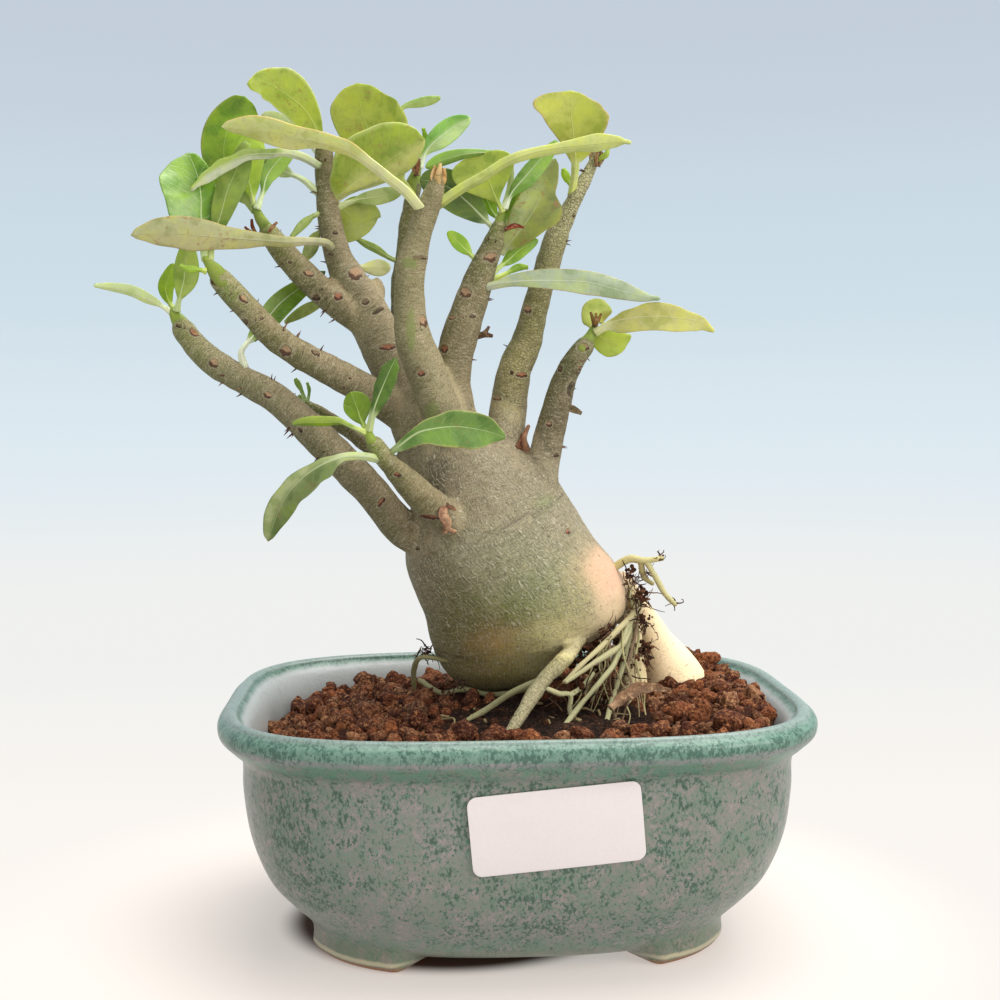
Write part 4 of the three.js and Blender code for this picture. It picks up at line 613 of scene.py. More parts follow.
def placed(name, data):
    """A new object with that data, in the scene."""
    made = bpy.data.objects.new(name, data)
    bpy.context.scene.collection.objects.link(made)
    return made


def add_piece(name, shell, material, slot, *nodes):
    """A finished piece: the shell in metres, riding on the one body, in place of the CAD nodes it names."""
    mesh = bpy.data.meshes.new(name)
    count, corners = shell.faces.shape
    mesh.vertices.add(len(shell.points))
    mesh.vertices.foreach_set("co", ((shell.points + SHIFT) / 1000).astype(np.float32).ravel())
    mesh.loops.add(count * corners)
    mesh.loops.foreach_set("vertex_index", shell.faces.astype(np.int32).ravel())
    mesh.polygons.add(count)
    mesh.polygons.foreach_set("loop_start", np.arange(0, count * corners, corners, dtype=np.int32))
    mesh.polygons.foreach_set("use_smooth", np.ones(count, bool))
    for mark, values in shell.marks.items():
        kind, key = ("FLOAT", "value") if values.ndim == 1 else ("FLOAT_VECTOR", "vector")
        attribute = mesh.attributes.new(mark, kind, "POINT")
        attribute.data.foreach_set(key, values.astype(np.float32).ravel())
    mesh.update(calc_edges=True)
    mesh.validate()
    mesh.materials.append(material)
    piece = placed(name, mesh)
    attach(piece, "root")
    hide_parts(*nodes)


# ---- materials kit ----
class Value:
    """A number on a node's socket. Arithmetic on it, with other values or plain numbers, adds Math nodes."""

    def __init__(self, finish, socket):
        self.finish = finish
        self.socket = socket

    def _math(self, operation, *terms):
        return self.finish.node("ShaderNodeMath", {"operation": operation}, dict(enumerate(terms)))

    def __add__(self, other):
        return self._math("ADD", self, other)

    def __mul__(self, other):
        return self._math("MULTIPLY", self, other)

    def __sub__(self, other):
        return self._math("SUBTRACT", self, other)

    def __rsub__(self, other):
        return self._math("SUBTRACT", other, self)

    def __pow__(self, other):
        return self._math("POWER", self, other)

    __radd__ = __add__
    __rmul__ = __mul__

    def sine(self):
        return self._math("SINE", self)

    def size(self):
        return self._math("ABSOLUTE", self)

    def step(self, low, high):
        """Eased step of the value: 0 below low and 1 above high, or the other way round if low > high."""
        settings = {"interpolation_type": "SMOOTHSTEP"}
        ends = (low, high, 0.0, 1.0) if low < high else (high, low, 1.0, 0.0)
        return self.finish.node("ShaderNodeMapRange", settings, {0: self, **dict(enumerate(ends, 1))})


class Finish:
    """A material in the making, round one Principled shader."""

    def __init__(self, name, **fixed):
        self.material = bpy.data.materials.new(name)
        self.material.use_nodes = True
        self.nodes = self.material.node_tree.nodes
        self.links = self.material.node_tree.links
        self.shader = self.nodes["Principled BSDF"]
        for socket, value in fixed.items():
            self.shader.inputs[socket.replace("_", " ")].default_value = value
        self.place = self.node("ShaderNodeTexCoord", output="Object")

    def node(self, kind, settings=None, inputs=None, output=0):
        """A node of that type: its settings first, then the values or links of its sockets."""
        made = self.nodes.new(kind)
        for name, value in (settings or {}).items():
            setattr(made, name, value)
        for key, value in (inputs or {}).items():
            self.plug(made.inputs[key], value)
        return Value(self, made.outputs[output])

    def plug(self, socket, value):
        """Links a value to the socket, or sets it to a hex colour or a plain number or place."""
        if isinstance(value, Value):
            self.links.new(value.socket, socket)
        elif isinstance(value, str):
            socket.default_value = (*colour(value), 1)
        else:
            socket.default_value = value

    def feed(self, **sockets):
        """Links or sets the shader's own sockets, and hands over the finished material."""
        for name, value in sockets.items():
            self.plug(self.shader.inputs[name.replace("_", " ")], value)
        return self.material

    def mark(self, name):
        """A number kept on the mesh's points."""
        return self.node("ShaderNodeAttribute", {"attribute_name": name}, output="Fac")

    def mark_vector(self, name):
        """A place or colour kept on the mesh's points."""
        return self.node("ShaderNodeAttribute", {"attribute_name": name}, output="Vector")

    def axes(self, vector):
        """The x, y and z of a place."""
        split = self.node("ShaderNodeSeparateXYZ", None, {0: vector})
        return [Value(self, socket) for socket in split.socket.node.outputs]

    def stretch(self, vector, *factors):
        """A place times a factor along each of its axes."""
        return self.node("ShaderNodeVectorMath", {"operation": "MULTIPLY"}, {0: vector, 1: factors})

    def mix(self, share, first, second, blend="MIX"):
        """Colour between first and second by share."""
        settings = {"data_type": "RGBA", "blend_type": blend, "clamp_factor": True}
        return self.node("ShaderNodeMix", settings, {0: share, 6: first, 7: second}, output=2)

    def layers(self, base, *coats):
        """A base colour under coats of (share, colour) or (share, colour, blend), laid on in turn."""
        for share, *coat in coats:
            base = self.mix(share, base, *coat)
        return base

    def grain(self, size, detail=3.0, roughness=0.5, warp=0.0, vector=None):
        """Noise of the given grain size in mm, from 0 to 1, on Object places or on a mark in mm."""
        scale = 1000.0 / size if vector is None else 1.0 / size
        inputs = {"Vector": vector or self.place, "Scale": scale, "Detail": detail,
                  "Roughness": roughness, "Distortion": warp}
        return self.node("ShaderNodeTexNoise", None, inputs)

    def cells(self, size, feature="F1", vector=None):
        """Distance in a cell pattern of the given cell size in mm; F1 from the middles, or to the edges."""
        scale = 1000.0 / size if vector is None else 1.0 / size
        inputs = {"Vector": vector or self.place, "Scale": scale}
        return self.node("ShaderNodeTexVoronoi", {"feature": feature}, inputs)

    def bump(self, height, depth):
        """Normal of a relief: height 0 to 1 stands for depth in mm."""
        inputs = {"Height": height, "Strength": 1.0, "Distance": depth / 1000.0}
        return self.node("ShaderNodeBump", None, inputs)


# ---- pot and sticker ----
def rounded(a, b, n, angle):
    """Rounded rectangle |x/a|^n + |y/b|^n = 1 at an angle."""
    c, s = np.cos(angle), np.sin(angle)
    return a * np.sign(c) * np.abs(c) ** (2 / n), b * np.sign(s) * np.abs(s) ** (2 / n)


def pot_shell():
    """One profile (height, half length, half depth, squareness) carried round the pot: inside floor, inside
    wall, rolled lip, outside wall, base. Near the corners the base rows go over into the feet's."""
    angle = turns(POT_COLUMNS)
    height, length, depth, square = POT_FLOOR
    floor = [(height, length * k, depth * k, square) for k in (0.02, 0.35, 0.7, 0.93)]
    inside = evenly(POT_INSIDE, 26)
    outside = evenly(POT_OUTSIDE, 60)[::-1]
    outside = outside[outside[:, 0] > WALL_STARTS]
    turn = np.linspace(0, np.pi, 11)[1:-1]
    inward, outward = (1 + np.cos(turn)) / 2, (1 - np.cos(turn)) / 2
    lip = np.outer(inward, inside[-1]) + np.outer(outward, outside[0])
    lip[:, 0] += LIP_RISE * np.sin(turn)
    plain, footed = (np.vstack([floor, inside, lip, outside, base]) for base in zip(*BASE_ROWS))
    x, y = rounded(*FOOT_RING, angle)
    foot = smooth(np.abs(x - 1), *FOOT_START_X) * smooth(np.abs(y), *FOOT_START_Y)
    heights, lengths, depths, squares = between(plain.T[..., None], footed.T[..., None], foot)
    rings = np.stack([*rounded(lengths, depths, squares, angle), heights], axis=-1)
    wave = noise(rings, 24, 3) * WALL_WAVE * smooth(rings[..., 2], 4, 12)
    rings[..., :2] += unit(rings[..., :2]) * wave[..., None]
    inner = np.zeros(rings.shape[:2])
    inner[:len(floor) + len(inside) + 2] = 1
    sole = foot * smooth(-rings[..., 2], -1.5, -1) * (1 - inner)
    return closed_grid(rings, inner=inner, sole=sole, foot=foot * (1 - inner))


def wall_at(height):
    """Half length, half depth and squareness of the outside wall at some heights."""
    table = evenly(POT_OUTSIDE, 200)
    return [np.interp(height, table[:, 0], table[:, k]) for k in (1, 2, 3)]


STICKER_SIDES = 48
STICKER_COCKLE = 0.12


def sticker_shell():
    """Rounded card: a thin loop (front up, back down) carried along its width, its half height shrinking
    round the corners by the circle's rule. Each point is turned by the tilt and laid on the wall, plus its
    lift off it."""
    half_w, half_h, corner = LABEL["width"] / 2, LABEL["height"] / 2, LABEL["corner"]
    u = half_w * np.sin(np.linspace(-np.pi / 2, np.pi / 2, 90))
    into = np.clip(np.abs(u) - (half_w - corner), 0, corner)
    reach = half_h - corner + np.sqrt(np.maximum(corner**2 - into**2, 0.01))
    angle = turns(STICKER_SIDES)
    v = reach[:, None] * np.sign(np.cos(angle)) * np.abs(np.cos(angle)) ** 0.6
    lift = SEAT_GAP + LABEL["thick"] * (0.5 + 0.5 * np.sign(np.sin(angle)) * np.abs(np.sin(angle)) ** 0.2)
    lift = lift + STICKER_COCKLE * noise(np.stack([u[:, None] + 0 * v, v, 0 * v], axis=-1), 11, 9)
    tilt = math.radians(LABEL["tilt"])
    c, s = math.cos(tilt), math.sin(tilt)
    x = LABEL["x"] + u[:, None] * c - v * s
    z = LABEL["z"] + u[:, None] * s + v * c
    a, b, n = wall_at(z)
    y = -(b + lift) * (1 - np.abs(x / (a + lift)) ** n) ** (1 / n)
    return closed_grid(np.stack([x, y, z], axis=-1))


# ---- soil ----
SOIL_LEVEL = 53
SOIL_SLOPE = 0.03
MOUND = 5.5
MOUND_SPREAD = 27
GRANULE_LAYER = 1.6            # how far the peat lies below the soil's height
PEAT_COLUMNS = 300
PEAT_GAP = 0.4
CRUMB_COUNT = 420
CRUMB_SIZES = (0.9, 2.4)
CLOD_PLANES = 11
CLOD_SOFTNESS = 9              # the higher, the sharper a clod's edges
TRIES_EACH = 30                # random places tried for each one wanted
# Layers of clods: most of them, spacing, least and largest size, how deep they sink as a share of half their
# size, splits of their sphere, seed.
CLOD_LAYERS = [
    (1100, 2, 1.8, 3.2, 0.7, 1, 31), (560, 3, 2.8, 4.6, 0.15, 1, 32), (84, 7, 4.4, 6.4, -0.25, 2, 33),
]
# Clods that lie apart from the layers: (x, y, size, how much their middle stands above the soil).
LOOSE_CLODS = [
    (1, -40, 6.4, 0.6), (9, -36, 4.4, 0.6), (-18, -33, 5.6, 0.6), (-7, -34, 6, 1.4), (-2, -31, 4.6, 0.6),
    (14, -34, 5, 0.8), (24, -31, 5.2, 1), (-13, -28, 5, 0.8), (32, -33, 5, 1), (-58.5, -16, 4.6, 0.6),
    (5, -38, 4.6, 0.6), (20, -38, 4.8, 0.8),
]


def soil_height(x, y):
    """Low mound round the caudex, lower at the left end of the pot, higher in the right back corner."""
    mound = MOUND * np.exp(-((x - 2) ** 2 + (y - 18) ** 2) / (2 * MOUND_SPREAD**2))
    corner = 3 * smooth(x, 30, 50) * smooth(y, 20, 40)
    ends = 4 * smooth(x, 34, 58) - 6 * smooth(-x, 50, 66)
    return SOIL_LEVEL + SOIL_SLOPE * x + mound + corner + ends


def from_oval(x, y, oval):
    """Distance from the oval's middle, 1 on its edge."""
    return np.hypot((x - oval["x"]) / oval["rx"], (y - oval["y"]) / oval["ry"])


def bare(x, y):
    """1 where dark peat lies bare in front of the caudex, 0 under the granules."""
    return 1 - smooth(from_oval(x, y, BARE_SEEN), 0.85, 1.15)


def peat_shell():
    """Plug of peat: floor, sides along the pot's inside, and a crumbly top that is the soil's height less
    a layer of granules, with three sizes of noise for crumbs."""
    angle = turns(PEAT_COLUMNS)
    inside = evenly(POT_INSIDE, 200)
    _, length, depth, _ = POT_FLOOR
    rows = [(8.2, length * k - PEAT_GAP, depth * k - PEAT_GAP, 2.6) for k in (0.03, 0.5, 0.98)]
    for z in (12, 20, 31, 42, 46):
        a, b = (np.interp(z, inside[:, 0], inside[:, k]) - PEAT_GAP for k in (1, 2))
        rows.append((z, a, b, 3.4))
    rings = []
    for z, a, b, n in rows:
        x, y = rounded(a, b, n, angle)
        rings.append(np.stack([x, y, z + 0 * x], axis=1))
    for share in np.linspace(1, 0.012, 90):
        x, y = rounded(64 * share, 53.7 * share, 2 + 1.5 * share, angle)
        flat = np.stack([x, y, 0 * x], axis=1)
        crumbs = 1.1 * np.abs(noise(flat, 3.1, 5)) + 0.8 * np.abs(noise(flat, 1.3, 6))
        crumbs = crumbs + 0.9 * noise(flat, 7, 8)
        top = soil_height(x, y) - GRANULE_LAYER + 0.6 * bare(x, y) + crumbs * smooth(1 - share, 0, 0.06)
        rings.append(np.stack([x, y, top], axis=1))
    rings = np.array(rings)
    return closed_grid(rings, grit=1 - bare(rings[..., 0], rings[..., 1]))


def sphere_faces(splits):
    """Unit icosahedron, its triangles split that many times: directions and faces."""
    g = (1 + 5**0.5) / 2
    points = [(-1, g, 0), (1, g, 0), (-1, -g, 0), (1, -g, 0), (0, -1, g), (0, 1, g), (0, -1, -g), (0, 1, -g),
              (g, 0, -1), (g, 0, 1), (-g, 0, -1), (-g, 0, 1)]
    faces = [(0, 11, 5), (0, 5, 1), (0, 1, 7), (0, 7, 10), (0, 10, 11), (1, 5, 9), (5, 11, 4), (11, 10, 2),
             (10, 7, 6), (7, 1, 8), (3, 9, 4), (3, 4, 2), (3, 2, 6), (3, 6, 8), (3, 8, 9), (4, 9, 5),
             (2, 4, 11), (6, 2, 10), (8, 6, 7), (9, 8, 1)]
    points = unit(np.array(points, float))
    faces = np.array(faces)
    for _ in range(splits):
        edges = np.sort(np.concatenate([faces[:, [0, 1]], faces[:, [1, 2]], faces[:, [2, 0]]]), axis=1)
        kept, which = np.unique(edges, axis=0, return_inverse=True)
        ab, bc, ca = which.reshape(3, -1) + len(points)
        points = unit(np.vstack([points, points[kept].sum(axis=1)]))
        a, b, c = faces.T
        quarters = ((a, ab, ca), (b, bc, ab), (c, ca, bc), (ab, bc, ca))
        faces = np.vstack([np.stack(corners, axis=1) for corners in quarters])
    return points, faces


def clods(places, sizes, splits, seed, peaty=0.0):
    """Angular granules: in each direction the soft least distance to a handful of random planes round the
    middle, then pitted by noise. places are the middles and sizes the diameters."""
    rng = np.random.default_rng(seed)
    directions, faces = sphere_faces(splits)
    count = len(places)
    planes = unit(rng.normal(size=(count, CLOD_PLANES, 3)))
    gaps = rng.uniform(0.66, 1.12, (count, CLOD_PLANES))
    lean = np.maximum(np.einsum("pk,cnk->cpn", directions, planes), 0.02) / gaps[:, None]
    radius = np.sum(lean**CLOD_SOFTNESS, axis=2) ** (-1 / CLOD_SOFTNESS)
    shape = directions[None] * np.minimum(radius, 1.25)[..., None] * rng.uniform(0.68, 1.15, (count, 1, 3))
    body = shape * (sizes[:, None, None] / 2)
    at = body + places[:, None] * 3
    body = body * (1 + 0.24 * noise(at, 1.9, seed) + 0.16 * noise(at, 0.9, seed + 1))[..., None]
    points = (body + places[:, None]).reshape(-1, 3)
    all_faces = (faces[None] + (np.arange(count) * len(directions))[:, None, None]).reshape(-1, 3)
    tone = np.repeat(rng.uniform(0, 1, count) ** 1.3, len(directions))
    dust = np.repeat(rng.uniform(0, 1, count) ** 3, len(directions))
    return Shell(points, all_faces, {"tone": tone, "dust": dust, "peaty": np.full(len(points), peaty)})


def scattered(count, spacing, margin, seed, avoid=0.5):
    """Random places on the granules' bed, spacing apart, off the bare peat and out of the wood."""
    rng = np.random.default_rng(seed)
    a, b, n = GRIT_EDGE
    kept = np.zeros((0, 2))
    tries = np.stack([rng.uniform(-side, side, count * TRIES_EACH) for side in (a, b)], axis=1)
    x, y = tries.T
    inside = np.abs(x / (a - margin)) ** n + np.abs(y / (b - margin)) ** n < 1
    clear = (bare(x, y) < avoid) & (from_oval(x, y, CAUDEX_FOOT) > 1)
    for place in tries[inside & clear]:
        if len(kept) < count and np.all(np.hypot(*(kept - place).T) > spacing):
            kept = np.vstack([kept, place])
    return kept


def granule_shell():
    """Three sizes of clods lying on the bed of peat, the large ones on top, and peaty crumbs all over."""
    rng = np.random.default_rng(21)
    parts = []
    for count, spacing, low, high, sink, splits, seed in CLOD_LAYERS:
        spots = scattered(count, spacing, high / 2 - 2, seed)
        sizes = rng.uniform(low, high, len(spots))
        height = soil_height(*spots.T) - sink * sizes / 2 - 0.3
        parts.append(clods(np.column_stack([spots, height]), sizes, splits, seed))
    crumbs = scattered(CRUMB_COUNT, 1.5, 1.2, 34, avoid=2)
    sizes = rng.uniform(*CRUMB_SIZES, len(crumbs))
    places = np.column_stack([crumbs, soil_height(*crumbs.T) - 0.7])
    parts.append(clods(places, sizes, 1, 35, 1.0))
    few = np.array(LOOSE_CLODS, float)
    places = np.column_stack([few[:, :2], soil_height(few[:, 0], few[:, 1]) + few[:, 3]])
    parts.append(clods(places, few[:, 2], 2, 36))
    return join(parts)


# ---- wood ----
STOUT_ROOTS = ("main", "stout_1", "stout_2")
CAUDEX_SIDES = 96
LIMB_SIDES = 24
SKIN_VOXEL = 0.62
EASE_ROUNDS = 10
SKIN_BATCH = 6000              # points handled at a time, to spare memory
STRETCH_BETWEEN_LIMBS = 300    # mm that keep the limbs' places on the skin apart


def caudex_axis(t):
    """Stations (x, y, z, half width) of the caudex, on a smooth curve through its slices."""
    return spline(np.asarray(CAUDEX, float)[:, [1, 2, 0, 3]], t)


def caudex_shell():
    """Elliptic rings on the caudex's axis, closed at both ends."""
    curve = caudex_axis(np.linspace(0, 1, 90))
    angle = turns(CAUDEX_SIDES)
    x = curve[:, :1] + curve[:, 3:] * np.cos(angle)
    y = curve[:, 1:2] + CAUDEX_DEPTH * curve[:, 3:] * np.sin(angle)
    return closed_grid(np.stack([x, y, curve[:, 2:3] + 0 * x], axis=-1))


def grown_together(shells):
    """The shells as one skin: voxel remesh, then the smooth modifier to round the joints."""
    whole = join([Shell(s.points, s.faces) for s in shells])
    mesh = bpy.data.meshes.new("blank")
    mesh.from_pydata((whole.points / 1000).tolist(), [], whole.faces.tolist())
    blank = placed("blank", mesh)
    remesh = blank.modifiers.new("remesh", "REMESH")
    remesh.mode = "VOXEL"
    remesh.voxel_size = SKIN_VOXEL / 1000
    ease = blank.modifiers.new("ease", "SMOOTH")
    ease.factor = 0.5
    ease.iterations = EASE_ROUNDS
    done = blank.evaluated_get(bpy.context.evaluated_depsgraph_get()).to_mesh()
    points = np.zeros(len(done.vertices) * 3)
    done.vertices.foreach_get("co", points)
    faces = np.zeros(len(done.polygons) * 4, int)
    done.loops.foreach_get("vertex_index", faces)
    bpy.data.objects.remove(blank)
    bpy.data.meshes.remove(mesh)
    return Shell(points.reshape(-1, 3) * 1000, faces.reshape(-1, 4))


def limb_axes():
    """Stations (x, y, z, radius) of the caudex's axis and of every limb of the wood, by name."""
    axes = {"caudex": caudex_axis(np.linspace(0.12, 0.93, 60))}
    for name, points in BRANCHES.items():
        axes[name] = evenly(seen(points), 110)
    for name in STOUT_ROOTS:
        axes[name] = evenly(seen(ROOTS[name]), 60)
    return axes


def skin_places(points, axes):
    """For every point and limb, how far the point is from the limb's surface and at what share of its
    length; for the nearest limb the point's place on the skin (mm along, and two mm across); and how surely
    that limb is the nearest, 0 where two meet."""
    gaps = np.zeros((len(points), len(axes)), np.float32)
    shares = np.zeros_like(gaps)
    skin = np.zeros((len(points), 3))
    best = np.full(len(points), np.inf)
    offset = 0
    for column, stations in enumerate(axes.values()):
        along, side, up = carried(stations[:, :3], (0.35, 0.8, 0.49) if column else (0, -1, 0))
        far = run_along(stations[:, :3])
        for start in range(0, len(points), SKIN_BATCH):
            part = slice(start, start + SKIN_BATCH)
            apart = points[part, None] - stations[None, :, :3]
            distance = np.sqrt(np.einsum("psk,psk->ps", apart, apart)) - stations[:, 3]
            near = np.argmin(distance, axis=1)
            least = distance[np.arange(len(near)), near]
            rows = apart[np.arange(len(near)), near]
            place = np.stack([np.einsum("pk,pk->p", rows, way[near]) for way in (along, side, up)], axis=1)
            place[:, 0] += far[near]
            gaps[part, column] = least
            shares[part, column] = near / (len(stations) - 1)
            closer = least < best[part]
            skin[part] = np.where(closer[:, None], place + (offset, 0, 0), skin[part])
            best[part] = np.minimum(best[part], least)
        offset += STRETCH_BETWEEN_LIMBS
    first, second = np.partition(gaps, 1, axis=1)[:, :2].T
    return gaps, shares, skin, smooth(second - first, 0.6, 2.2)


# ---- camera's view of the real thing, for marks that were read off it by pixel ----
CAMERA_AZIMUTH = math.radians(3.3376)
CAMERA_DOWN = 0.065079
CAMERA_ROLL = math.radians(-0.285)
FRAME = 1000                   # pixels across and down
FOCAL = 1500                   # pixels


def camera_axes():
    """Right, up and forward of the camera."""
    forward = np.array([math.sin(CAMERA_AZIMUTH) * math.cos(CAMERA_DOWN),
                        math.cos(CAMERA_AZIMUTH) * math.cos(CAMERA_DOWN), -math.sin(CAMERA_DOWN)])
    level = np.array([math.cos(CAMERA_AZIMUTH), -math.sin(CAMERA_AZIMUTH), 0])
    rise = np.cross(level, forward)
    c, s = math.cos(CAMERA_ROLL), math.sin(CAMERA_ROLL)
    return c * level + s * rise, c * rise - s * level, forward


def pixels(points):
    """Where points are seen on the frame, in pixels across and down."""
    right, up, forward = camera_axes()
    away = points - EYE
    depth = away @ forward
    middle = FRAME / 2
    return np.stack([middle + FOCAL * (away @ right) / depth, middle - FOCAL * (away @ up) / depth], axis=1)


# ---- leaves ----
STALK_ROWS = 9
BLADE_ROWS = 38
LEAF_SIDES = 28
GROOVE_DEPTH = 0.16
GROOVE_HALF = 0.5
EDGE_HALF = 0.2                # half the blade's thickness towards its edge
MARGIN_WAVE = 0.9
SURFACE_WAVE = 0.14
# A leaf's hidden face against its seen one: the upper face where the under one is seen, and the reverse.
HIDDEN_UPPER = (0.62, 0.72, 0.55)
HIDDEN_UNDER = (1.12, 1.08, 1.25)
ROUND_END = 0.82               # from here on along the blade an outline of its own closes in a half ellipse


def leaf_shell(entry):
    """One closed loft along the rib: a round stalk that flattens into the blade. The blade's half width is
    sin(pi b^power)^(0.8 - 0.3b) of its largest, or follows the entry's own outline and ends round; both
    edges lift by the fold, more and more towards the margin, which waves; the midrib is a groove above."""
    rib = seen(entry.rib)
    blade_rows = np.sin(np.linspace(0, np.pi / 2, BLADE_ROWS)) ** 1.15
    s = np.concatenate([np.linspace(0, entry.stalk, STALK_ROWS, endpoint=False),
                        entry.stalk + (1 - entry.stalk) * blade_rows])
    centre = spline(rib, s)
    along = unit(spline(rib, s + 2e-4) - spline(rib, s - 2e-4))
    along[-1] = along[-2]
    view = unit(centre - EYE)
    flat = unit(np.cross(view, along))
    out = np.cross(flat, along)
    turn = math.radians(entry.turn)
    across = flat * math.cos(turn) + out * math.sin(turn)
    normal = np.cross(across, along)
    b = np.clip((s - entry.stalk) / (1 - entry.stalk), 0, 1)
    power = math.log(0.5) / math.log(entry.belly)
    shape = np.maximum(np.sin(np.pi * b**power), 0) ** (0.8 - 0.3 * b)
    fold = math.radians(entry.fold)
    half = {-1: entry.left / math.cos(turn - fold) * shape, 1: entry.right / math.cos(turn + fold) * shape}
    for sign, widths in ((-1, entry.left_widths), (1, entry.right_widths)):
        if widths:
            steps = np.linspace(0, 10, len(widths) + 1)
            last = max(1.5 * widths[-1] - 0.5 * widths[-2], 0.6 * widths[-1])
            curve = evenly(np.column_stack([steps, [*widths, last], 0 * steps]), 200)
            round_end = np.sqrt(1 - np.clip((b - ROUND_END) / (1 - ROUND_END), 0, 1) ** 2)
            outline = np.interp(10 * b, curve[:, 0], curve[:, 1])
            half[sign] = outline * round_end / math.cos(turn + sign * fold)
    size = entry.left + entry.right
    thin = min(1, 0.35 * size + 0.25) * (1 - 0.35 * smooth(s, 0, entry.stalk))
    taper = np.sqrt(np.clip((1 - b) / 0.03, 0.02, 1))
    angle = turns(LEAF_SIDES)
    c = np.cos(angle)
    lift = np.sign(np.sin(angle)) * np.abs(np.sin(angle)) ** 0.6
    sign = np.sign(c)
    blade = np.where(sign < 0, half[-1][:, None], half[1][:, None])
    reach = np.abs(c) * np.maximum(thin[:, None], blade) * taper[:, None]
    tilt = fold * smooth(b, 0, 0.2)[:, None]
    rib_half = 0.8 * thin * (1 - smooth(b, 0, 0.3)) + 0.42 * smooth(b, 0, 0.3)
    thick = (rib_half[:, None] * (1 - np.abs(c)) ** 0.7 + EDGE_HALF * np.abs(c) + 0.04) * taper[:, None]
    seed = int(abs(entry.rib[0][0] * 7 + entry.rib[-1][1] * 13)) % 997
    wide = smooth(blade, 1.2, 4)
    far = np.broadcast_to(run_along(centre)[:, None], reach.shape)
    grid = np.stack([far, sign * reach, 0 * reach], axis=-1)
    wave = noise(grid, 10, seed) * MARGIN_WAVE * wide * np.abs(c) ** 2
    wave = wave + noise(grid, 3.4, seed + 1) * SURFACE_WAVE * wide
    groove = -GROOVE_DEPTH * np.exp(-(reach / GROOVE_HALF) ** 2)
    groove = groove * (smooth(b, 0.02, 0.15) * (1 - smooth(b, 0.9, 1)))[:, None]
    groove = groove * wide * (1 if entry.face == UPPER else -1)
    cup = 0.45 * reach + 0.55 * reach**2 / max(blade.max(), 1)
    rise = cup * np.sin(tilt) + lift * thick + (wave + groove)
    rings = (centre[:, None] + across[:, None] * (sign * reach * np.cos(tilt))[..., None]
             + normal[:, None] * rise[..., None])
    upper = (lift > 0) == (entry.face == UPPER)
    left_tint, right_tint, rib_tint, margin = (colour(code) for code in entry.tints.split())
    side = smooth(sign * np.abs(c) + noise(grid, 6, seed + 2) * 0.3, -0.35, 0.35)[..., None]
    tint = between(left_tint, right_tint, side)
    away = np.broadcast_to((lift < 0)[None, :, None], tint.shape)
    other = tint * (HIDDEN_UPPER if entry.face == UNDER else HIDDEN_UNDER)
    tint = np.where(away, other, tint)
    tint = np.maximum(tint * (1, 1, 0.92) - (0, 0, 0.008), 0.004)
    rim = smooth(np.abs(c), 0.9, 0.99)[None, :, None]
    tint = between(tint, margin, rim)
    stem = (1 - smooth(b, 0.0, 0.12))[:, None, None]
    tint = between(tint, rib_tint, stem)
    rib_width = (0.02 + 0.26 * (1 - b) ** 1.5) * min(1.1, 0.35 + 0.08 * size)
    full = np.ones(reach.shape)
    marks = {"tint": tint, "ribtint": rib_tint * np.ones_like(tint), "blade": grid,
             "ribwidth": rib_width[:, None] * full, "ribshare": np.where(upper, 0.8, 0.45) * full,
             "gloss": entry.gloss * full, "veins": entry.veins * wide * smooth(b, 0, 0.1)[:, None],
             "specks": entry.specks * wide}
    return closed_grid(rings, **marks)


# ---- the wood's look ----
# Colours of each limb at its base, its middle, near its end and at its end, or at base, middle and end.
LIMB_TINTS = {
    "caudex": "#90876e #9a9078 #9c927a", "main_stem": "#8f846a #807a60 #767350 #767342",
    "branch_low_left": "#776f54 #817b5c #878560 #8a9450",
    "branch_mid_left": "#756d52 #6d6847 #6e6e39 #80914a",
    "branch_upper_left": "#736d4a #716d48 #767842 #86984a",
    "branch_behind": "#6b6840 #64663c #6c6e36 #6c7a34", "branch_front": "#aca584 #a09a72 #8d8862 #827d54",
    "branch_middle": "#7a7254 #6b6444 #626636 #6b7a34", "branch_right": "#b5af78 #8f8c54 #c0c090 #c8c99c",
    "branch_low_right": "#6e654c #655c42 #565a30 #64743a", "branch_short": "#8d8464 #7a744e #6d713c #768a38",
    "twig": "#6f6a40 #6f6a40 #6f7038 #74863a", "stub": "#7a6f50 #7a6f50 #80785a",
    "main": "#b0ae84 #b4b08a #bab590", "stout_1": "#f2dfb8 #fae8c4 #f6e4bc",
    "stout_2": "#e6d4a8 #e6d7aa #ddd0a2",
}
# How strong the net of cracks is on each limb.
LIMB_NETS = {
    "branch_right": 0.7, "branch_low_right": 0.35, "branch_middle": 0.2, "branch_front": 0.25,
    "branch_behind": 0.4, "main": 0.6,
}
PALE_LIMBS = ("stout_1", "stout_2")
# Painted light and painted shade on the bark: sides turned up and to the right are tinted paler, sides turned
# down and to the left darker and greener.
PAINTED_LIGHT_TONE = "#b5a385"
PAINTED_SHADE_TONE = "#5f6438"
WARMTH = (1.07, 1.02, 0.96)    # of the whole skin
LIMB_BLEND = 2.4               # mm within which the looks of neighbouring limbs flow together
CAUDEX_MEAN_RADIUS = 22
HAIR_SLANT = (0.91, 0.42)      # cosine and sine of the hair lines' slant on the caudex
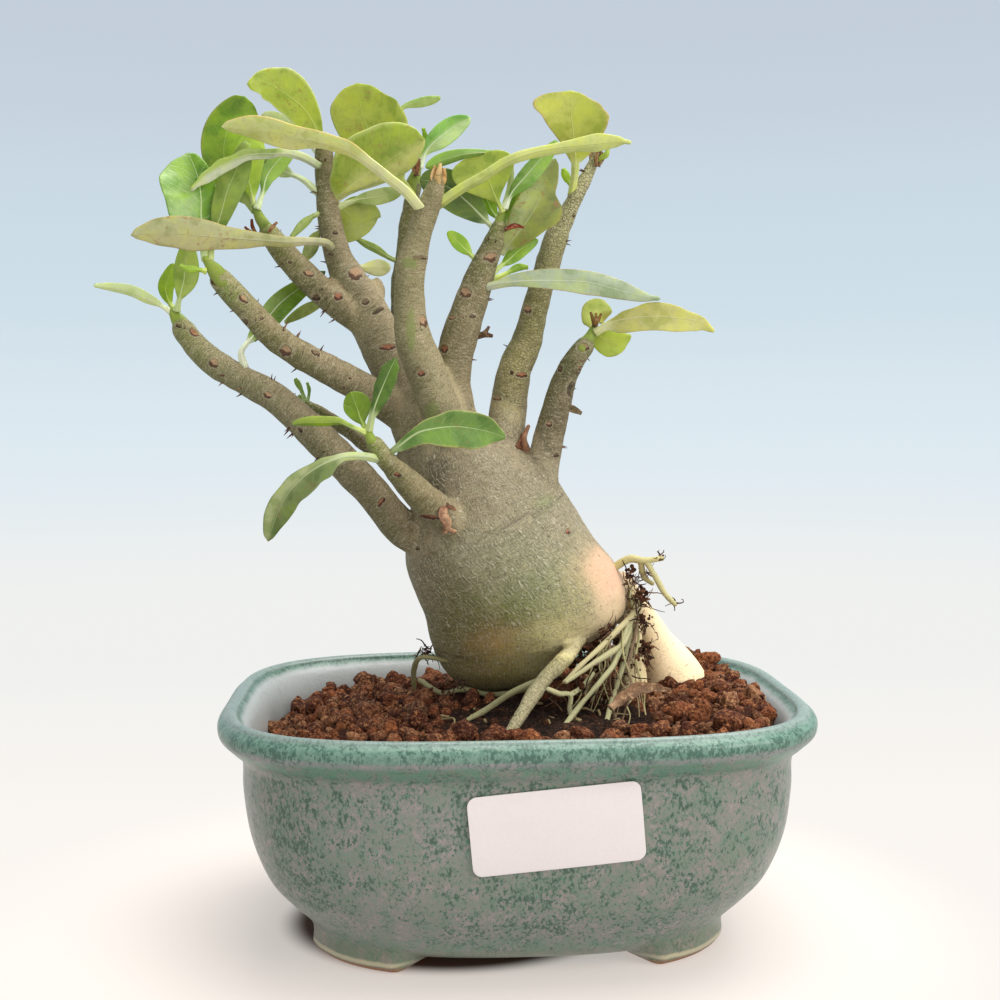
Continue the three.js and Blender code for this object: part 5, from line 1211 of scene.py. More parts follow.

# Colour patches on the caudex's front, partly its own colours and partly painted light and shade: (pixel
# across, pixel down, half width, half height, colour, strength).
CAUDEX_TONES = [
    (500, 470, 60, 30, "#9a917a", 0.7), (545, 520, 40, 40, "#95937a", 0.5),
    (500, 560, 60, 34, "#82866a", 0.6), (425, 560, 20, 50, "#6f5f44", 0.75),
    (450, 610, 24, 34, "#5f5c34", 0.8), (520, 612, 46, 22, "#74843f", 0.85),
    (545, 585, 30, 24, "#848f68", 0.6), (470, 640, 40, 26, "#68622c", 0.8),
    # Painted light: the pale cream patches low on the right, from (548, 662) to (612, 626), are lighter than
    # the caudex's own colour and stand in for light.
    (498, 650, 24, 17, "#9a7038", 0.95), (548, 662, 38, 22, "#dcd490", 0.95),
    (570, 640, 28, 22, "#e4dea0", 0.9), (588, 654, 28, 18, "#f4ecc0", 1.0),
    (612, 626, 24, 28, "#f8e6c2", 1.0), (612, 604, 20, 36, "#e6d0ac", 0.8),
    (606, 572, 20, 20, "#e6b09c", 0.8), (582, 602, 16, 36, "#b2b07c", 0.5),
    # Painted light: the patch along the bottom at (478, 680) is lightened against the shade near the soil.
    (478, 680, 70, 14, "#85773a", 0.85), (505, 665, 26, 14, "#978a48", 0.7),
    # Painted shade: the near-black first patch on the next line, at (437, 470), darkens a hollow.
    (437, 470, 15, 24, "#241c10", 1.0), (425, 520, 18, 12, "#74624a", 0.5), (544, 500, 9, 5, "#7f9a5a", 0.5),
    (560, 668, 30, 8, "#a3a263", 0.8), (420, 505, 14, 12, "#6a5a42", 0.5), (575, 480, 20, 30, "#8d8368", 0.5),
    (530, 455, 30, 14, "#9c927a", 0.5),
]

# Marks on the bark of each limb: (pixel across, pixel down, width, height, tilt in degrees, kind).
SCARS = {
    "branch_mid_left": [(216, 281, 13, 9, 50, "red"), (243.7, 298.5, 10, 8, 40, "heart"),
        (244.7, 322, 7, 7, 0, "dark"), (285.8, 350.6, 12, 11, 20, "heart"), (315.6, 352, 8, 7, 30, "dark"),
        (262, 318, 5, 4, 0, "dark")],
    "branch_upper_left": [(308.4, 273, 13, 7, 20, "heart"), (316.3, 297.4, 8, 7, 0, "dark"),
        (338, 296, 9, 9, 0, "red"), (290, 262, 5, 4, 0, "dark")],
    "main_stem": [(355.2, 273, 14, 15, 10, "heart"), (365.3, 301.7, 9, 7, -20, "dark"),
        (377.8, 310.7, 14, 5, -30, "hollow"), (387.6, 346.7, 16, 7, -5, "red"), (335, 232, 6, 5, 0, "dark"),
        (331, 254, 6, 4, 0, "dark")],
    "branch_front": [(423.5, 320.8, 9, 13, -15, "heart"), (421.7, 373, 9, 7, 0, "red"),
        (410, 263, 22, 16, 0, "green"), (418, 258, 18, 5, 0, "dark"), (432, 410, 18, 26, 20, "green"),
        (411, 330, 12, 60, 0, "green")],
    "branch_low_left": [(194.4, 331.6, 12, 8, 30, "red"), (178, 325, 8, 5, 20, "dark"),
        (213.8, 362.9, 10, 10, 30, "heart"), (381.6, 501.6, 12, 5, -50, "red"), (300, 430, 7, 5, 30, "dark"),
        (268, 395, 9, 8, 30, "heart")],
    "branch_middle": [(490.8, 257, 14, 10, 0, "heart"), (465.3, 292, 13, 11, 10, "heart"),
        (473, 316, 8, 4, 0, "dark"), (444, 348.5, 9, 9, 0, "red"), (452, 318, 8, 5, 0, "heart"),
        (447, 292, 4, 5, 0, "dark")],
    "branch_behind": [(418, 168, 9, 10, 0, "red")],
    "branch_right": [(527.5, 309, 9, 9, 0, "heart"), (522, 374.7, 12, 6, 0, "red"),
        (511, 372, 4, 5, 0, "hollow"), (574, 215.4, 4, 4, 0, "dark"), (496.7, 398, 9, 5, 0, "heart")],
    "branch_low_right": [(583, 347, 11, 9, 0, "heart"), (559.9, 368.6, 5, 7, 0, "dark"),
        (581.4, 368.6, 6, 5, 0, "red"), (573, 390, 12, 16, -10, "hollow"), (548.8, 424, 7, 6, 0, "heart"),
        (556, 455, 6, 5, 0, "dark")],
    "branch_short": [(397.8, 475, 8, 5, 0, "red"), (371, 441, 9, 6, 30, "red"), (430, 517, 22, 4, 8, "red")],
    "caudex": [(568.6, 531, 5, 6, 0, "red"), (515, 521, 38, 3, -33, "crease"), (522, 447, 16, 5, 20, "dark"),
        (418, 548, 5, 5, 0, "dark")],
}
# Each kind's inside colour, rim colour, and how far its inside lies in (mm). The hollow kind's near-black
# inside is partly its own colour and partly painted shade in the dent.
SCAR_KINDS = {
    "heart": ("#c29876", "#4a2a1c", 0.35), "red": ("#b0684a", "#421f14", 0.4),
    "dark": ("#6a4e38", "#3a2618", 0.3), "hollow": ("#3a2c1f", "#55432f", 0.9),
    "green": ("#84904e", "#84904e", 0.0), "crease": ("#857d66", "#857d66", 0.16),
}
OFF_SCARS = np.array([9.0, 9.0, 0.0])     # a point's place across and down, and the depth, off all scars
SCAR_HALF = 0.45               # of a scar's width and height, where its rim is
SCAR_REACH = 3.5               # in the same measure, how far its crest and colours can matter


def flared(points):
    """The limb's points with one more before the first: a wider foot sunk into what the limb grows from."""
    p = np.asarray(points, float)
    back = unit(p[0, :3] - p[1, :3])
    return np.vstack([[*(p[0, :3] + back * 1.1 * p[0, 3]), p[0, 3] * 1.25], p])


def scar_marks(p, normal, weight, names):
    """Where each point lies on the nearest scar (across and down, 1 at its rim; 9 off all scars) and that
    scar's depth and colours. A scar is on one limb, on the side that faces the camera."""
    place = pixels(p)
    facing = -np.sum(normal * unit(p - EYE), axis=1)
    scar = np.tile(OFF_SCARS, (len(p), 1))
    fill = np.zeros((len(p), 3))
    rim = np.zeros((len(p), 3))
    for name, entries in SCARS.items():
        own = (weight[:, names.index(name)] > 0.25) & (facing > 0)
        for u, v, width, height, tilt, kind in entries:
            turn = math.radians(tilt)
            du, dv = (place - (u, v)).T
            across = (du * math.cos(turn) + dv * math.sin(turn)) / (width * SCAR_HALF)
            down = (dv * math.cos(turn) - du * math.sin(turn)) / (height * SCAR_HALF)
            near = np.hypot(across, down)
            closer = own & (near < SCAR_REACH) & (near < np.hypot(scar[:, 0], scar[:, 1]))
            inside, edge, depth = SCAR_KINDS[kind]
            scar[closer] = np.stack([across, down, np.full(len(p), depth)], axis=1)[closer]
            fill[closer] = colour(inside)
            rim[closer] = colour(edge)
    return scar, fill, rim


def caudex_patches_and_painted_light(tint, p, normal, caudex):
    """The caudex's colours: by height all round, then the patches seen on its front, some of which are
    painted light and painted shade.
    """
    z = p[:, 2] + 4 * noise(p, 9, 51)
    place = pixels(p)
    facing = smooth(-np.sum(normal * unit(p - EYE), axis=1), -0.05, 0.25)
    around = [("#8d8b6a", smooth(-z, -104, -90) * 0.8), ("#7d7f56", smooth(-z, -82, -72) * 0.8),
              ("#57512c", smooth(-z, -70, -60) * 0.7)]
    for code, share in around:
        tint = between(tint, colour(code), (share * caudex)[:, None])
    wander = 6 * np.stack([noise(p, 6, 52), noise(p, 6, 53)], axis=1)
    for u, v, half_u, half_v, code, strength in CAUDEX_TONES:
        ring = np.hypot(*((place + wander - (u, v)) / (half_u * 1.25, half_v * 1.25)).T)
        tint = between(tint, colour(code), (np.exp(-(ring**2) * 1.1) * strength * facing * caudex)[:, None])
    return tint


def wood_shell():
    """Caudex, branches and stout roots in one skin, with fine relief pushed in and out along its normals."""
    solids = [caudex_shell()]
    solids += [limb(flared(seen(points)), LIMB_SIDES) for points in BRANCHES.values()]
    solids += [limb(seen(ROOTS[name]), LIMB_SIDES) for name in STOUT_ROOTS]
    skin = grown_together(solids)
    axes = limb_axes()
    names = list(axes)
    gaps, shares, places, sure = skin_places(skin.points, axes)
    weight = np.exp(-(gaps - gaps.min(axis=1, keepdims=True)) / LIMB_BLEND)
    weight /= weight.sum(axis=1, keepdims=True)
    p = skin.points
    normal = normals_of(skin)
    tint = np.zeros_like(p)
    for column, name in enumerate(names):
        stops = np.array([colour(code) for code in LIMB_TINTS[name].split()])
        at = (0, 0.5, 0.8, 0.96) if len(stops) == 4 else (0, 0.5, 1)
        along = np.stack([np.interp(shares[:, column], at, stops[:, k]) for k in range(3)], axis=1)
        tint += along * weight[:, column:column + 1]
    caudex = np.maximum(weight[:, 0], 0.7 * (1 - smooth(gaps[:, 0], 0.8, 4)))
    pale = weight[:, [names.index(name) for name in PALE_LIMBS]].sum(axis=1)
    net = weight @ np.array([LIMB_NETS.get(name, 0.0) for name in names])
    bark = 1 - np.clip(caudex + pale, 0, 1)
    # Painted light on the sides facing up and right, painted shade on the sides facing down and left.
    painted_light = smooth(normal @ (0.75, -0.2, 0.5) + 0.35 * noise(p, 8, 45), 0.05, 0.75) * bark * (1 - net)
    painted_shade = smooth(normal @ (-0.8, 0, -0.5) + 0.35 * noise(p, 8, 46), -0.1, 0.7) * bark
    tint = between(tint, colour(PAINTED_LIGHT_TONE), 0.4 * painted_light[:, None])
    tint = between(tint, colour(PAINTED_SHADE_TONE), 0.45 * painted_shade[:, None])
    tint = caudex_patches_and_painted_light(tint, p, normal, caudex)
    relief = 0.3 * noise(p, 7, 41) + bark * 0.2 * noise(places * (1.4, 0.5, 0.5), 3.2, 42)
    relief += caudex * (0.45 * noise(p, 15, 43) + 0.10 * noise(p, 2.4, 44))
    relief *= smooth(p[:, 2], 56, 66) * 0.7 + 0.3
    scar, fill, rim = scar_marks(p, normal, weight, names)
    ring = np.hypot(scar[:, 0], scar[:, 1])
    relief -= (1 - smooth(ring, 0.5, 1.1)) * scar[:, 2]
    tint = np.maximum(tint * WARMTH - (0, 0, 0.004), 0.004)
    heights, axis_x, axis_y, _ = np.array(CAUDEX).T
    from_axis_x = p[:, 0] - np.interp(p[:, 2], heights, axis_x)
    from_axis_y = np.interp(p[:, 2], heights, axis_y) - p[:, 1]
    girth = CAUDEX_MEAN_RADIUS * np.arctan2(from_axis_x, from_axis_y)
    c, s = HAIR_SLANT
    hairs = np.stack([girth * c + p[:, 2] * s, girth * s - p[:, 2] * c, p[:, 1]], axis=1)
    rosy = smooth(tint[:, 0] - tint[:, 1], 0.06, 0.22) * caudex
    hairy = (1 - smooth(gaps[:, 0], 1.5, 6)) * (1 - 0.75 * rosy)
    marks = {"sure": sure, "skin": places, "tint": tint, "net": net, "hairs": hairs, "hairy": hairy,
             "pale": np.clip(pale + rosy * 0.8, 0, 1), "scar": scar, "scarfill": fill, "scarrim": rim}
    return Shell(p + normal * relief[:, None], skin.faces, marks)


def bark_finish():
    """Tint kept on the skin, fine pale grain and cross wrinkles, pale hair lines on the caudex, a net of
    dark cracks on green wood, the scars' insides and rims from their places kept on the points, and a raised
    ridge round each scar with a painted highlight."""
    bark = Finish("bark", Specular_IOR_Level=0.3)
    skin, lines = bark.mark_vector("skin"), bark.mark_vector("hairs")
    pale, sure, hairy = bark.mark("pale"), bark.mark("sure"), bark.mark("hairy")
    dull = 1 - pale
    grain = bark.grain(0.42, 2, 0.5)
    blotch = bark.grain(4.5, 4, 0.6)
    wrinkle = bark.grain(1, 3, 0.6, 0.4, bark.stretch(skin, 2.0, 0.5, 0.5))
    dashes = bark.grain(1, 2, 0.5, 0.3, bark.stretch(skin, 1.7, 0.5, 0.5))
    sway = bark.grain(1, 2, 0.5, 0.2, bark.stretch(lines, 0.6, 0.42, 0.5))
    broken = bark.grain(1, 2, 0.5, 0.3, bark.stretch(lines, 0.95, 0.5, 0.9))
    wave = (bark.axes(lines)[0] * 6 + (sway - 0.5) * 19).sine()
    hairs = wave.step(0.55, 0.95) * broken.step(0.45, 0.56) * hairy
    furrows = wave.step(-0.3, -0.95) * broken.step(0.4, 0.56) * hairy
    net = bark.cells(1, "DISTANCE_TO_EDGE", bark.stretch(skin, 1.5, 0.95, 0.95))
    cracks = net.step(0.13, 0.03) * bark.mark("net") * sure
    plates = bark.cells(1, "DISTANCE_TO_EDGE", bark.stretch(skin, 2.4, 1.6, 1.6))
    scales = plates.step(0.2, 0.04) * dull * sure
    across, down, depth = bark.axes(bark.mark_vector("scar"))
    ragged = bark.grain(1.0, 3, 0.6)
    ring = (across * across + down * down) ** 0.5 + (ragged - 0.5) * 1.5
    inside = ring.step(0.95, 0.7) * (0.25 + ragged * 0.9)
    rim = ring.step(0.3, 0.6) * ring.step(1.2, 0.95) * (down + ring * 0.1).step(-0.05, 0.4)
    ridge_and_highlight = ring.step(0.95, 1.15) * ring.step(1.8, 1.3) * depth.step(0, 0.1)
    base = bark.layers(
        bark.mark_vector("tint"),
        (grain.step(0.5, 0.64) * 0.3 * dull, "#cdc1a2"),
        (grain.step(0.44, 0.3) * 0.25 * dull, "#3f3a24"),
        (scales * 0.2 * (1 - hairy), "#4a4630"),
        (wrinkle.step(0.46, 0.34) * sure * 0.4 * dull, "#4a452e"),
        (wrinkle.step(0.54, 0.68) * sure * 0.35 * dull, "#c9c0a4"),
        (blotch.step(0.5, 0.7) * 0.25 * dull, "#b8a884"),
        (blotch.step(0.45, 0.3) * 0.25 * dull, "#646a38"),
        (cracks * 0.6, "#3f4020"),
        (furrows * 0.35, "#4a4830"),
        (hairs * 0.55, "#d3cbb0"),
        (bark.grain(0.7, 3).step(0.52, 0.68) * 0.3 * pale, "#b9a473"),
        (dashes.step(0.66, 0.72) * pale * 0.55, "#8a6f48"),
        # Raised ridge round each scar, painted paler as a painted highlight.
        (ridge_and_highlight * 0.35, "#b8ab8c"),
        (inside, bark.mark_vector("scarfill")),
        (rim * 0.9 * depth.step(0, 0.1), bark.mark_vector("scarrim")))
    relief = grain * 0.4 + wrinkle * sure * 0.4 + hairs * 0.6 - cracks * 0.6 + blotch * 0.3
    relief = relief - rim * depth * 1.5 + ridge_and_highlight * 0.5 - scales * 0.3
    return bark.feed(Base_Color=base, Roughness=grain * 0.2 + 0.6, Normal=bark.bump(relief, 0.4))


ROOT_TINTS = {
    "air_1": "#bfb67c", "air_2": "#b9b27e", "air_3": "#aea470", "bunch_1": "#b3a97e", "bunch_2": "#a8a37a",
    "bunch_3": "#a19f76", "bunch_4": "#9d9b72", "floor": "#959468", "left": "#7d7850", "thin_left": "#96946a",
}
OTHER_ROOT_TINT = "#b5b286"
# Where rootlets leave the bunch: (x, z, y).
ROOTLET_STARTS = [(29, 84, 8), (31, 80, 5), (31.5, 77, 2), (29, 75, -2), (25, 71, -8), (30, 86, 9)]
ROOTLET_TONES = ("#b3a97c", "#94835c", "#6a523c", "#a09868")
BUNCH_ROOTLETS = 24
FLOOR_ROOTLETS = 16
FLOOR_ROOTLET_TONE = "#8a7a52"


def wiggled(start, end, seed, sway):
    """Stations from start to end (x, y, z) that sway smoothly by noise, none at the ends."""
    t = np.linspace(0, 1, 9)[:, None]
    straight = between(np.array(start, float), np.array(end, float), t)
    sideways = np.stack([noise(straight, 7, seed + k) for k in range(3)], axis=1)
    return straight + sideways * sway * np.sin(np.pi * t)


def rootlets():
    """Fine roots: from the bunch beside the caudex down into the soil, thinner and browner than the roots
    that are placed one by one, plus a few along the floor."""
    rng = np.random.default_rng(61)
    shells = []
    starts = seen(ROOTLET_STARTS)
    for k in range(BUNCH_ROOTLETS):
        start = starts[rng.integers(len(starts))] + rng.normal(0, 0.9, 3)
        x, y = rng.uniform(12, 33), rng.uniform(-22, 2)
        end = (x, y, soil_height(x, y) - 1.5)
        radius = rng.uniform(0.16, 0.36)
        path = wiggled(start, end, 70 + 5 * k, rng.uniform(2, 5))
        tint = colour(ROOTLET_TONES[k % len(ROOTLET_TONES)])
        shells.append(strand(path, radius, radius * 0.6, 8, 0.8, k, tint=tint, pale=0.5, scar=OFF_SCARS))
    for k in range(FLOOR_ROOTLETS):
        x, y = rng.uniform(-22, 26), rng.uniform(-20, 6)
        turn = rng.uniform(0, 2 * np.pi)
        far = (x + 12 * math.cos(turn), y + 7 * math.sin(turn))
        start = (x, y, soil_height(x, y) - 0.6)
        end = (*far, soil_height(*far) - 1.2)
        path = wiggled(start, end, 400 + 5 * k, 3) + (0, 0, 0.6)
        tint = colour(FLOOR_ROOTLET_TONE)
        shells.append(strand(path, 0.35, 0.2, 8, 0.8, k, tint=tint, pale=0.5, scar=OFF_SCARS))
    return shells


# Tufts of dry root fibre: (x, z, y), spread in mm, and how many fibres.
FIBRE_TUFTS = [
    (31.5, 88.5, 4, 2.2, 26), (33.5, 82.5, 3, 2.4, 30), (34, 76, 2, 2.0, 22), (34.5, 70, 4, 1.8, 26),
    (33.5, 64, 6, 1.8, 16), (25, 74.5, -6, 1.8, 20), (24, 73, 4, 2.4, 30), (20, 68, -2, 2.4, 26),
    (-22, 70, 14, 1.6, 16), (-15, 61, 5, 3, 14), (38, 93.3, 2, 0.7, 5), (42.5, 82, -1, 0.5, 4),
    (35, 90, 4, 1.2, 6), (12.5, 57, -12, 4, 18), (23, 59, -8, 4, 22), (28, 62, -4, 3, 16),
]


FIBRE_TONES = ("#4a3024", "#5e4030", "#33211a", "#7a5c44")


def fibre_shell():
    """Curly dry fibres: each walks on from its tuft in a smoothly turning random direction."""
    rng = np.random.default_rng(62)
    shells = []
    for x, z, y, spread, count in FIBRE_TUFTS:
        middle = seen([(x, z, y)])[0]
        for _ in range(count):
            heading = unit(rng.normal(size=3) * (0.7, 0.8, 1) - (0, 0, 0.6))
            bends = np.cumsum(rng.normal(0, 0.75, (9, 3)), axis=0)
            steps = unit(heading + bends) * rng.uniform(0.25, 0.3 + 0.2 * spread)
            path = middle + rng.normal(0, spread / 2, 3) + np.cumsum(steps, axis=0)
            radius = rng.uniform(0.1, 0.24)
            tone = colour(FIBRE_TONES[rng.integers(len(FIBRE_TONES))])
            shells.append(strand(path, radius, radius * 0.5, 6, 0.9, tint=tone))
    return join(shells)


# Clumps of litter caught in the roots: (x, z, y), spread in mm, how many, size in mm.
LITTER = [
    (31, 90, 4, 1.4, 16, 1.5), (33.5, 84, 3, 1.7, 30, 1.8), (34.5, 78, 3, 1.2, 14, 1.4),
    (34.8, 70, 4, 1.4, 24, 1.7), (34.5, 66, 6, 1.2, 16, 1.6), (24.5, 74.5, -4, 1.4, 16, 1.9),
    (20, 70, -6, 1.4, 10, 1.5), (23, 75.5, 8, 2.4, 60, 2.2), (22, 71, 4, 2.4, 60, 2.2),
    (27, 71, 6, 2.4, 50, 2.2), (18, 66.5, 0, 2.6, 60, 2.2), (24, 66, 2, 2.8, 60, 2.2),
    (29, 66, -4, 2.4, 26, 1.6), (24, 61, -6, 3, 30, 1.8), (14, 58, -10, 4, 26, 1.8),
    (-22.5, 70, 13, 1.3, 9, 1.3), (-17, 60, 8, 3, 16, 1.6), (42.6, 81.5, -1, 0.5, 4, 0.9),
    (38.5, 93.5, 2, 0.7, 4, 0.8), (26, 92, 5, 0.5, 4, 1.0),
]


def litter_shell():
    """Dark crumbs round the middles of LITTER, scattered by the normal law."""
    rng = np.random.default_rng(64)
    places = []
    sizes = []
    for x, z, y, spread, count, size in LITTER:
        middle = seen([(x, z, y)])[0]
        places.append(middle + rng.normal(0, spread / 1.6, (count, 3)))
        sizes.append(rng.uniform(0.35, 0.85, count) * size)
    return clods(np.vstack(places), np.concatenate(sizes), 1, 65, 0.7)


def tip_shell(name):
    """Green end of a shoot: a narrowing limb whose colour runs from the branch's own to fresh green."""
    points = seen(SHOOT_TIPS[name])
    points[:, 3] *= np.linspace(0.96, 0.52, len(points))
    green = colour("#84963c")
    shell = limb(points, 20, 0.5, 7, ribtint=green, blade=np.zeros(3), gloss=0.25, veins=0.0, specks=0.3)
    far = shell.marks["skin"][:, 0]
    share = smooth(far, 0.5, 0.8 * far.max())[:, None]
    shell.marks["tint"] = between(colour("#6f7838"), green, share)
    return shell


THORN_STATIONS = 120
# Thorns: limb, first and last share of its length, pairs.
THORNS = [
    ("branch_low_left", 0.4, 0.98, 10), ("branch_mid_left", 0.3, 0.98, 12),
    ("branch_upper_left", 0.25, 0.95, 9), ("main_stem", 0.5, 0.9, 5), ("branch_middle", 0.35, 0.85, 3),
    ("branch_right", 0.35, 0.9, 3), ("branch_low_right", 0.3, 0.9, 3),
]


def thorns():
    """Short dark spines in pairs along the branches, most on the three left ones."""
    rng = np.random.default_rng(63)
    shells = []
    for name, first, last, pairs in THORNS:
        share = np.linspace(first, last, pairs) + rng.normal(0, 0.01, pairs)
        stations = evenly(seen(BRANCHES[name]), THORN_STATIONS)
        along, side, up = carried(stations[:, :3])
        for at in np.clip(share, 0, 1):
            k = int(at * (THORN_STATIONS - 1))
            angle = rng.uniform(0, 2 * np.pi)
            for apart in (-0.35, 0.35):
                out = side[k] * math.cos(angle + apart) + up[k] * math.sin(angle + apart)
                base = stations[k, :3] + out * (stations[k, 3] - 0.4)
                tip = base + out * rng.uniform(1.2, 2.1) + along[k] * rng.uniform(-0.2, 0.8)
                path = np.vstack([[*base, 0.28], [*(base * 0.5 + tip * 0.5), 0.17], [*tip, 0.05]])
                shells.append(limb(path, 6, 0.9, tint=colour("#4f2c20")))
    return shells


# Dry scales and flakes: rib (x, z, y), half width in mm, colours.
SCALES = [
    ([(-64, 176.5, 1), (-65.2, 178.6, 1), (-65.3, 180.6, 1)], 0.45, "#5c2418 #7a3422 #4a1c14 #3a1610"),
    ([(-64.6, 176.6, 1), (-66, 177.6, 1), (-67.2, 178.6, 1)], 0.4, "#6a2c1c #6a2c1c #4a1c14 #3a1610"),
    ([(-61, 177.4, -2), (-60, 178.8, -2.4), (-58.9, 179.8, -2.4)], 0.35, "#a06a4c #a06a4c #7a4630 #6a3a28"),
    ([(-1.5, 178, -3), (1, 179, -3), (3.5, 178.5, -3)], 0.6, "#6f2418 #8a3a26 #4a1c14 #3a1610"),
    ([(21.3, 153.5, -5), (20.9, 155.6, -5), (20.5, 157.2, -5)], 0.4, "#6a4a22 #7a5a2c #4a3018 #3a2614"),
    ([(21.9, 153.5, -5), (22.6, 155.4, -5), (23.2, 156.8, -5)], 0.4, "#7a5a2c #6a4a22 #4a3018 #3a2614"),
    ([(21.6, 153.5, -5.6), (21.8, 155.6, -5.8), (21.9, 157, -5.8)], 0.4, "#8a7034 #7a5a2c #4a3018 #3a2614"),
    ([(-23.5, 191.5, 18.6), (-23.5, 194, 18.4), (-23, 195.8, 18.6)], 0.6, "#7a4a34 #6a3a28 #3a1610 #3a1610"),
    ([(-24, 191.5, 19), (-24.6, 193.5, 18.6), (-25.2, 194.8, 18.6)], 0.5, "#a07a5a #8a5a42 #4a1c14 #3a1610"),
    ([(-18.9, 188.5, -18.4), (-19.6, 191.2, -18.6), (-19.1, 194, -18.4)],
     0.75, "#c9a878 #a8824e #8a6238 #6a4a2a"),
    ([(-18.3, 188.5, -19.2), (-18.3, 191.5, -19.6), (-17.6, 194.6, -19.2)],
     0.8, "#b9945c #cdb07c #8a6238 #6a4a2a"),
    ([(-17.6, 188.5, -18.4), (-16.9, 191, -18.6), (-16.8, 193.4, -18.4)],
     0.7, "#a8824e #b9945c #8a6238 #5a3c24"),
    ([(-18.2, 188.5, -17.4), (-17.9, 191.5, -17.2), (-18.4, 193.6, -17.4)],
     0.7, "#a8824e #a8824e #8a6238 #5a3c24"),
    ([(21.5, 194, 8), (20.7, 196.5, 8), (21.5, 198.8, 8)], 0.6, "#a58a60 #8a6a48 #6a4a30 #5a3c28"),
    ([(22.5, 194, 7), (23.5, 196.5, 7), (22.6, 198.3, 7)], 0.6, "#8a6a48 #a58a60 #6a4a30 #5a3c28"),
    ([(22, 194, 6), (22, 197, 6), (23, 199, 6)], 0.55, "#7a5a3c #8a6a48 #6a4a30 #5a3c28"),
    ([(-9.5, 150.5, -1), (-7, 151.5, -1.5), (-4.6, 151, -2)], 0.8, "#5a4434 #4a3428 #3a281e #33241c"),
    ([(-9, 150.8, 0), (-6.5, 152.2, 0), (-5.6, 153.6, 0)], 0.5, "#6a5444 #4a3428 #3a281e #33241c"),
    ([(2.2, 118, 1), (4, 121.2, -0.6), (3.2, 124.8, -1.2), (4.6, 128.4, -1)],
     0.8, "#8a5e48 #9a705a #6a4434 #4f3024"),
    ([(1, 119.5, 1.5), (2.4, 121.6, 0.2), (2.2, 123.6, -0.4), (3, 126.2, 0)],
     0.6, "#7a4c3a #8a5e48 #5f3a2c #4f3024"),
    ([(2.6, 120, 0), (1.6, 122.8, -1), (2.4, 124.6, -1.4)], 0.5, "#9a705a #7a4c3a #5f3a2c #4f3024"),
    ([(3.6, 116.6, 0), (4.8, 118.4, -1), (4.4, 120.6, -1.4)], 0.5, "#8a5e48 #7a4c3a #5f3a2c #4f3024"),
    ([(-16.6, 108, -14.5), (-17.6, 105.6, -16.6), (-16.5, 103.2, -16.8), (-17.4, 100.6, -15)],
     1.2, "#b08a70 #8a6450 #6a4a3a #5a3a2c"),
    ([(-17, 107, -14.6), (-15.8, 107.4, -15.6), (-14.4, 106.6, -15)], 0.5, "#8a6450 #8a6450 #6a4a3a #4f3226"),
    ([(-17, 102.4, -14), (-15.7, 101.4, -15.4), (-14.4, 101, -14.8)], 0.6, "#b08a70 #8a6450 #6a4a3a #4f3226"),
    ([(13.4, 133.5, -3), (16, 132.3, -3.4), (18.2, 131.2, -3.6)], 0.9, "#6f624a #7a6c52 #574a36 #4a3c2c"),
]


def scale_shells():
    """Each scale is a small stiff leaf, thicker for its size."""
    return [leaf_shell(Leaf(rib, half, half * 1.1, 0.4, 0.05, 20 * (-1) ** k, 25, UPPER, tints, 0.2, 0, 0))
            for k, (rib, half, tints) in enumerate(SCALES)]


# ---- finishes ----
def leaf_finish():
    """Tint kept on the blade, pale side veins that run out and forward from the rib, specks and dust."""
    leaf = Finish("leaf_green", Specular_IOR_Level=0.3, Subsurface_Weight=0.12,
                  Subsurface_Radius=(0.6, 1.0, 0.3), Subsurface_Scale=0.0012)
    along, across, _ = leaf.axes(leaf.mark_vector("blade"))
    wander = leaf.grain(3.5, 3) - 0.5
    phase = (along - across.size() * 0.8 + wander * 3.5) * 2.7
    vein = phase.sine().step(0.75, 1.0) * leaf.mark("veins") * leaf.grain(2.2, 2).step(0.35, 0.6)
    rib = (across.size() - leaf.mark("ribwidth")).step(0.1, -0.1)
    rib_tint = leaf.mark_vector("ribtint")
    mottle = leaf.grain(1.1, 4, 0.6)
    cloud = leaf.grain(5, 3, 0.5)
    spots = leaf.grain(1.0, 3, 0.6) * 0.6 + leaf.grain(4, 2) * 0.4
    base = leaf.layers(
        leaf.mark_vector("tint"),
        (cloud.step(0.48, 0.62) * 0.45, "#d6da8c", "SOFT_LIGHT"),
        (cloud.step(0.48, 0.36) * 0.45, "#4f7020", "SOFT_LIGHT"),
        (mottle.step(0.35, 0.75) * 0.22, "#4f6a1c", "SOFT_LIGHT"),
        (vein * 0.24, rib_tint),
        (rib * leaf.mark("ribshare"), rib_tint),
        (spots.step(0.56, 0.64) * leaf.mark("specks") * 0.6, "#8a5a34"))
    relief = vein * -0.7 + rib * 0.8 + mottle * 0.3 + leaf.grain(0.35, 2) * 0.25
    return leaf.feed(Base_Color=base, Roughness=mottle * 0.14 + 0.66 - leaf.mark("gloss") * 0.5,
                     Normal=leaf.bump(relief, 0.1))


FLECK = 0.72                   # mm, grain of the glaze's dark flecks


